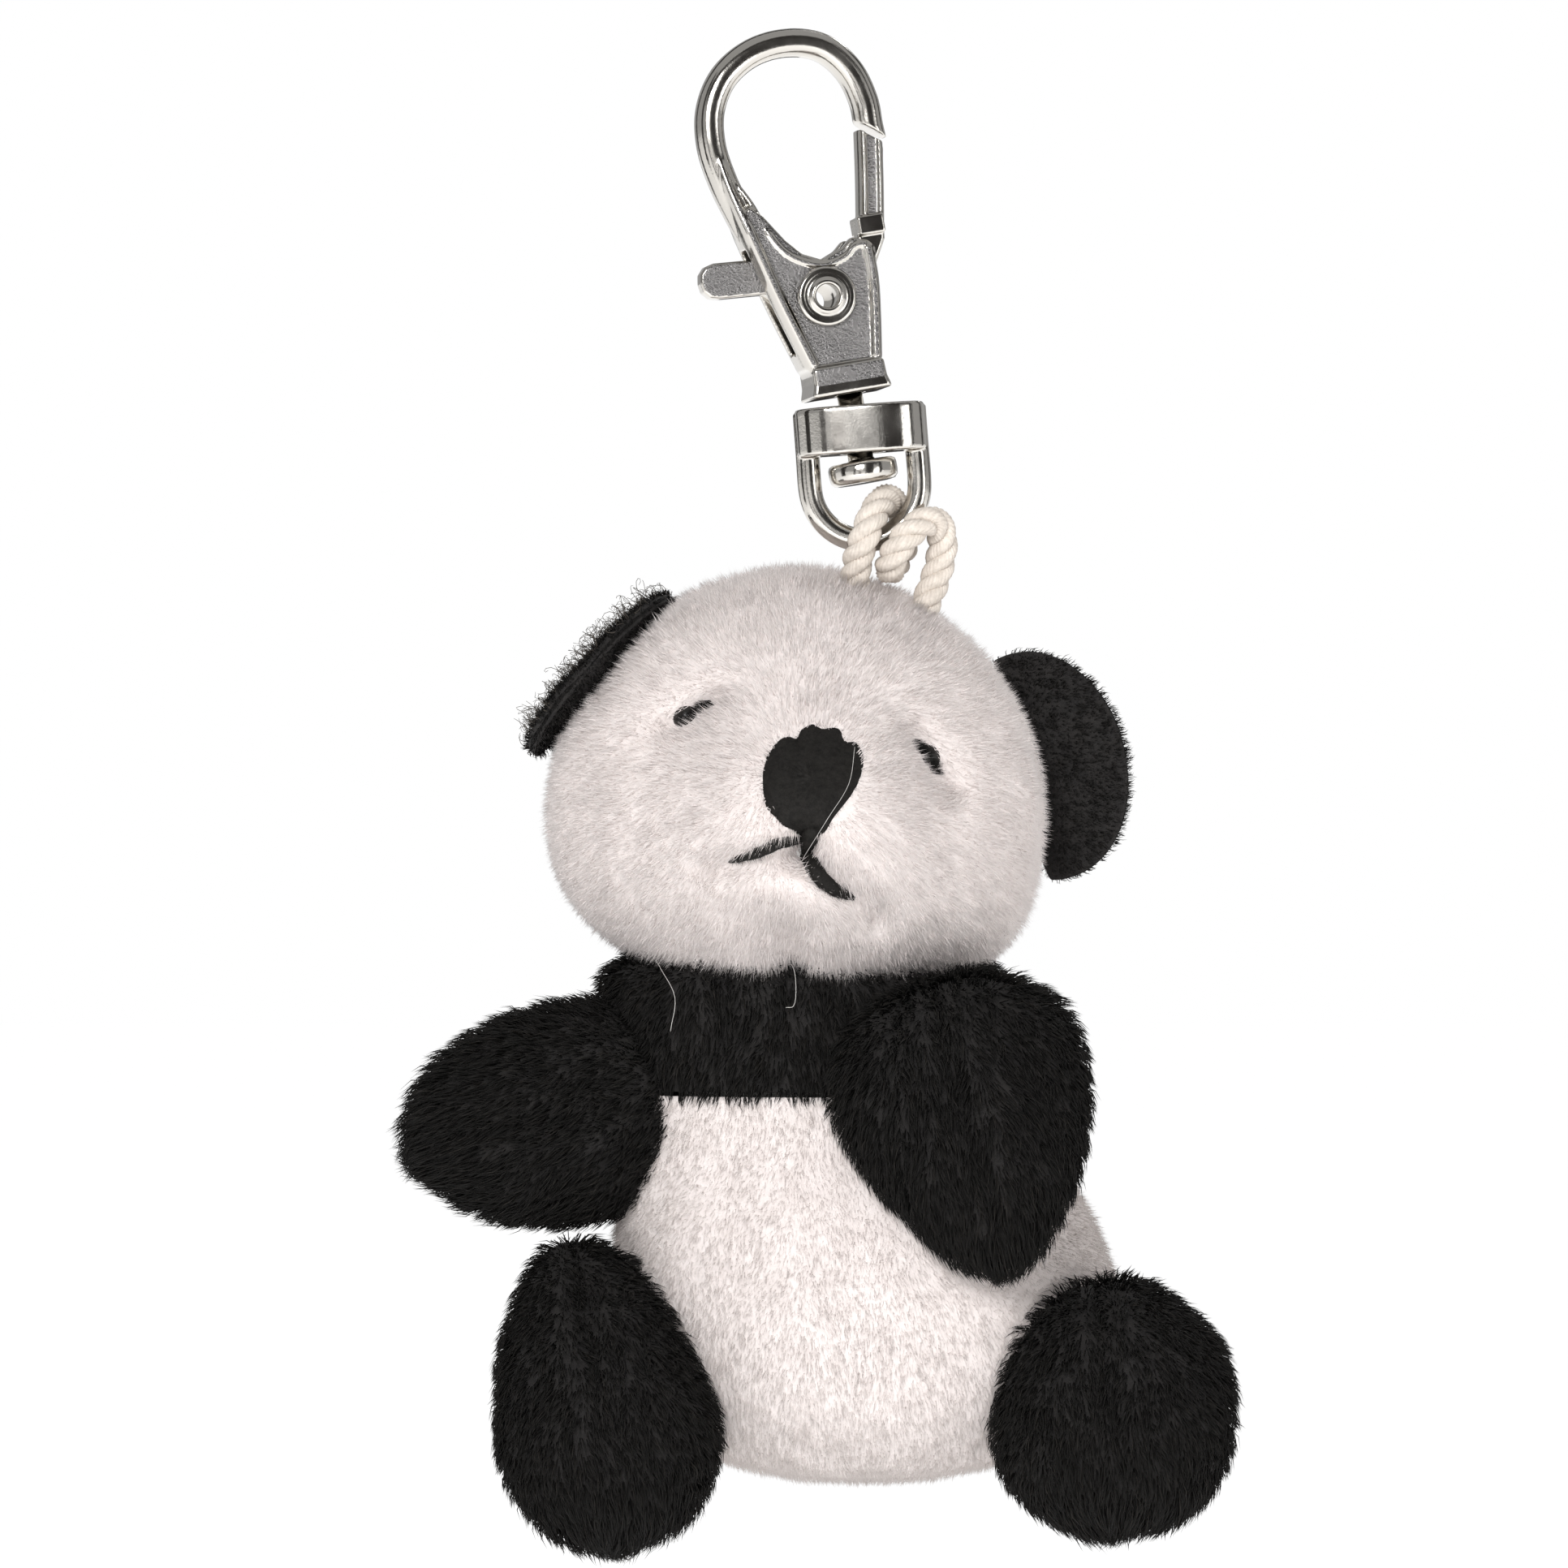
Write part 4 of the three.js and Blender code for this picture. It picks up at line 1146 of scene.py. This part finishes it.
# A plush's slot, its backing and its pile.
WHITE_PLUSH = ("white_plush", WHITE_BACKING, WHITE_PILE)
# The torso's plush wears the darker pile copy, painted shade.
TORSO_PLUSH_PAINTED_SHADE = ("white_plush", WHITE_BACKING, TORSO_PILE_PAINTED_SHADE)
BLACK_PLUSH = ("black_plush", BLACK_BACKING, BLACK_PILE)


def add_plush(name, node, outer, inner, wrap, plush, middle, **settings):
    """A padded shell of cloth between two grids, with its pile on the outer one."""
    slot, cloth_material, tints = plush
    cloth = shell(name + "_cloth", outer, inner, wrap)
    finish_piece(cloth, "plush", [cloth_material], [node])
    pile = add_pile(name + "_pile", outer, wrap, middle, **settings)
    finish_piece(pile, "plush", tints)


def add_head():
    front = head_panel(-1, -PILE_ROOM), head_panel(-1, -PILE_ROOM - CLOTH)
    add_plush("head_front", "head_front", *front, True, WHITE_PLUSH, HEAD["at"],
              comb=from_nose, seed=21, keep=face_keep, **WHITE)
    back = head_panel(1, -PILE_ROOM), head_panel(1, -PILE_ROOM - CLOTH)
    add_plush("head_back", "head_back", *back, True, WHITE_PLUSH, HEAD["at"], comb=DOWNWARD, seed=22, **WHITE)


def add_torso():
    for name, turns, seed in (("belly", FRONT_TURNS, 31), ("back", BACK_TURNS, 32)):
        outer = torso_panel(LOWER_ROWS, turns, -PILE_ROOM, SEAMS)
        inner = torso_panel(LOWER_ROWS, turns, -PILE_ROOM - CLOTH, SEAMS)
        # Both torso panels take the darker copy of the white pile: painted shade.
        add_plush(name, name + "_panel", outer, inner, False, TORSO_PLUSH_PAINTED_SHADE, (4.0, PLUSH_Y, -78.0),
                  comb=DOWNWARD, seed=seed, **WHITE)


def add_yoke():
    turns = np.linspace(0, 360, 180, endpoint=False)
    sunk = PILE_ROOM + 0.2
    outer = torso_panel(YOKE_ROWS, turns, -sunk, SEAMS)
    inner = torso_panel(YOKE_ROWS, turns, -sunk - CLOTH, SEAMS)
    add_plush("yoke", "shoulder_yoke", outer, inner, True, BLACK_PLUSH, (1.2, PLUSH_Y, -66),
              comb=DOWNWARD, seed=33, length=1.8, **BLACK)


def limb_blend(name, limb):
    """The plush body, the limb's name, its hinge and a place a little past its middle, in m."""
    end = np.asarray(limb["middle"]) + limb_axes(limb)[0] * limb["half"][0] * 0.2
    return "plush", name, tuple(np.asarray(limb["hinge"], float) * MM), tuple(end * MM)


def add_limbs():
    for seed, (name, limb) in enumerate(LIMBS.items(), 40):
        outer = limb_panel(limb, -PILE_ROOM, seed)
        cloth = closed_form(name + "_cloth", outer)
        blend = limb_blend(name, limb)
        finish_piece(cloth, None, [BLACK_BACKING], [name + "_skin"], blend)
        comb = straight(limb_axes(limb)[0] + np.array([0, 0, -0.25]))
        pile = add_pile(name + "_pile", outer, True, limb["middle"], comb=comb, seed=seed + 10,
                        keep=ragged_tip(limb), length=limb["pile"], **BLACK)
        finish_piece(pile, None, BLACK_PILE, (), blend)


def add_ears():
    for seed, (name, ear) in enumerate(EARS.items(), 60):
        along, rise, through = ear_axes(ear)
        middle = np.asarray(ear["hinge"], float) + rise * ear["height"] * 0.4
        for layer, sign in (("front", 1), ("back", -1)):
            outer = ear_panel(ear, sign, seed)
            lift = (outer - np.asarray(ear["hinge"])) @ through
            inner = outer - (lift[..., None] - sign * 0.08) * through * 0.98
            cloth = shell(f"{name}_{layer}_cloth", outer, inner, True)
            finish_piece(cloth, name, [BLACK_BACKING], [f"{name}_{layer}"])
            inward = middle - through * sign * 6
            pile = add_pile(f"{name}_{layer}_pile", outer, True, inward, comb=straight(rise),
                            seed=seed + 5 * (sign + 2), keep=clear_of_torso, **EAR_BLACK)
            finish_piece(pile, name, BLACK_PILE)


def add_ear_curls(name, count=900, seed=77):
    """Loose curled fibres over the outer layer of an ear."""
    ear = EARS[name]
    rise, through = ear_axes(ear)[1:]
    rim = ear_panel(ear, -1, 60)[8:]
    rng = np.random.default_rng(seed)
    curls = []
    for _ in range(count):
        i, j = rng.integers(0, rim.shape[0]), rng.integers(0, rim.shape[1])
        turn = np.linspace(0, rng.uniform(3.0, 7.0), 9)[:, None]
        size = rng.uniform(0.2, 0.5)
        a, b = unit(rng.normal(size=3)), unit(rng.normal(size=3))
        climb = unit(rise * rng.uniform(-0.3, 0.8) - through) * turn * rng.uniform(0.1, 0.24)
        curl = rim[i, j] + size * (np.sin(turn) * a + (1 - np.cos(turn)) * b) + climb
        curls.append(sweep(curl, round_section(0.03, 3), np.linspace(1, 0.5, 9)))
    piece = mesh_object(name + "_curls", *gather(curls))
    finish_piece(piece, name, CURLS)


def fill_form(name, grid, body, node, blend=None):
    finish_piece(closed_form(name, grid), body, [FILL], [node], blend)


def add_stuffing():
    polar = np.linspace(0, math.pi, 40)[:, None]
    round_ = np.linspace(0, 2 * math.pi, 72, endpoint=False)[None, :]
    direction = np.stack([np.sin(polar) * np.cos(round_), np.sin(polar) * np.sin(round_),
                          np.cos(polar) + 0 * round_], axis=-1)
    head = head_form(direction, -FILL_INSET["head"])
    head += (lumps(head, 3.0, 71) * 0.4)[..., None] * direction
    fill_form("head_fill", head, "plush", "head_stuffing")
    turns = np.linspace(0, 360, 72, endpoint=False)
    rows = np.concatenate([[TORSO[0, 0] - 0.1], np.linspace(-61.2, -93.6, 44)])
    torso = torso_panel(rows, turns, -FILL_INSET["torso"], ())
    torso[0] = torso[0].mean(axis=0)
    torso[-1] = torso[-1].mean(axis=0)
    torso += (lumps(torso, 3.0, 72) * 0.4)[..., None] * unit(torso - np.array([4, PLUSH_Y, -78]))
    fill_form("torso_fill", torso, "plush", "torso_stuffing")
    for seed, (name, limb) in enumerate(LIMBS.items(), 73):
        grid = limb_panel(limb, -FILL_INSET["limb"], seed)
        fill_form(name + "_fill", grid, None, name + "_stuffing", limb_blend(name, limb))


# ---------- face ----------
YARN_SIDES = 18


def on_face(x, z, lift):
    return (x, face_y(x, z) - lift, z)


def add_eyes():
    for side, (x, z) in EYES.items():
        bead = bpy.data.meshes.new("bead")
        made = bmesh.new()
        bmesh.ops.create_icosphere(made, subdivisions=4, radius=EYE_R * MM)
        for face in made.faces:
            face.smooth = True
        made.to_mesh(bead)
        made.free()
        eye = placed(f"bead_{side}", bead)
        eye.location = Vector(on_face(x, z, -EYE_SINK)) * MM
        finish_piece(eye, "plush", [BEAD], ["eye_" + side])


def add_eyelid_fibres_and_painted_shade():
    """Black fibres along the slit of each eye: partly the eye's own dark fibres, partly painted shade of the
    crease.
    """
    for side, (a, b) in zip(EYES, EYELIDS):
        across = unit(np.array([b[1] - a[1], a[0] - b[0]])) * LID_HALF
        line = [np.array(a) * (1 - k) + np.array(b) * k for k in np.linspace(0, 1, 24)]
        grid = np.array([[on_face(*(place + across * j), 0.4) for j in (-1, 0, 1)] for place in line])
        centre = grid.mean(axis=(0, 1)) + np.array([0, 5, 0])
        piece = add_pile(f"eye_{side}_dark_fibres_and_painted_shade", grid, False, centre, comb=from_nose, seed=85, **LASH_FIBRES_AND_PAINTED_SHADE)
        finish_piece(piece, "plush", BLACK_PILE)


def stitch(path, radius, proud):
    """A strand of yarn laid over the face along a path, thinning to its last end, its ends sinking in."""
    line = even_line(flat_line(path, 8), 0.15)
    s = np.linspace(0, 1, len(line))
    lift = proud * np.sin(math.pi * s) ** 0.5 - 0.5 * (1 - np.sin(math.pi * s) ** 0.4)
    line = np.array([on_face(x, z, up) for (x, _, z), up in zip(line, lift)])
    width = (0.5 + 0.5 * np.sin(math.pi * s) ** 0.4) * (1 - 0.5 * s**2)
    return sweep(line, round_section(radius, YARN_SIDES, 6, 0.06), width, s * 5.0)


def add_fuzz(name, grid, seed):
    """Fine stray fibres all over a strand of yarn."""
    centre = grid.mean(axis=(0, 1)) + np.array([0, 0.6, 0])
    piece = add_pile(name, grid, True, centre, comb=DOWNWARD, seed=seed, **FUZZ)
    finish_piece(piece, "plush", BLACK_PILE)


def add_nose():
    """Satin stitch worked into one fat pad: a lobed top where the strands turn, and a foot at the mouth."""
    rim = [
        (-1.1, -45.7), (-0.6, -45.2), (0.1, -45.1), (0.5, -45.2), (0.9, -44.5), (1.6, -44.2), (2.2, -44.5),
        (2.8, -44.4), (3.5, -44.6), (3.9, -45.3), (4.6, -45.5), (5.2, -46.3), (5.0, -47.8), (4.3, -49.2),
        (3.1, -50.6), (2.3, -51.8), (1.2, -52.0), (-0.2, -51.3), (-1.3, -50.3), (-1.8, -48.9),
        (-1.8, -47.5), (-1.5, -46.4), (-1.1, -45.7),
    ]
    edge = flat_line(rim, 6)[:-1]
    middle = np.array([1.6, 0, -48.0])
    r = np.sin(np.linspace(0, math.pi / 2, 26))
    flat = middle + (edge - middle)[None] * r[:, None, None]
    grooves = 0.5 + 0.5 * np.cos((flat[..., 0] - 0.35 * (flat[..., 2] + 48) * r[:, None]) * 2 * math.pi / 1.5)
    lift = 1.25 * np.sqrt(1 - r**3)[:, None] - 0.45 - 0.12 * grooves * r[:, None]
    front = np.array([[on_face(x, z, up) for (x, _, z), up in zip(row, ups)] for row, ups in zip(flat, lift)])
    nose = shell("nose", front, front + np.array([0, 0.5, 0]), True)
    finish_piece(nose, "plush", [BLACK_YARN], ["nose_stitching"])
    add_fuzz("nose_fuzz", front, 81)


def add_mouth():
    for side, (path, radius) in MOUTH.items():
        points, faces = stitch(path, radius, 0.4)
        piece = mesh_object(f"mouth_{side}", points, faces)
        finish_piece(piece, "plush", [BLACK_YARN], [f"mouth_stitch_{side}"])
        without_ends = points[:-2]
        add_fuzz(f"mouth_{side}_fuzz", without_ends.reshape(-1, YARN_SIDES, 3), 91)


def add_loose_hairs():
    """A few long white hairs that lie loose over the nose and the yoke."""
    routes = [
        [(-9.3, 59.4, 0), (-8.3, 60.6, 0.5), (-7.4, 62.4, 0.4), (-7.7, 64.6, 0)],
        [(-0.2, 59.6, 0), (0.5, 60.8, 0.6), (0.4, 62.9, 0.2), (-0.1, 63.0, 0)],
    ]
    parts = []
    for route in routes:
        line = []
        for x, down, lift in route:
            x0, half_w, half_d = torso_level(-down)
            y = PLUSH_Y - half_d * math.sqrt(max(0.0, 1 - ((x - x0) / half_w) ** 2)) - 1.2 - lift
            line.append((x, y, -down))
        parts.append(sweep(smooth_line(line, 6), round_section(0.018, 5)))
    across = [(4.4, -45.9), (4.0, -48.3), (2.6, -50.6), (1.0, -53.2)]
    line = [on_face(x, z, 1.2) for x, z in across]
    parts.append(sweep(smooth_line(line, 6), round_section(0.015, 5)))
    hairs = mesh_object("loose_hairs", *gather(parts))
    finish_piece(hairs, "plush", LOOSE_WHITE)


add_head()
add_torso()
add_yoke()
add_limbs()
add_ears()
add_ear_curls("ear_left")
add_stuffing()
add_eyes()
add_eyelid_fibres_and_painted_shade()
add_nose()
add_mouth()
add_loose_hairs()
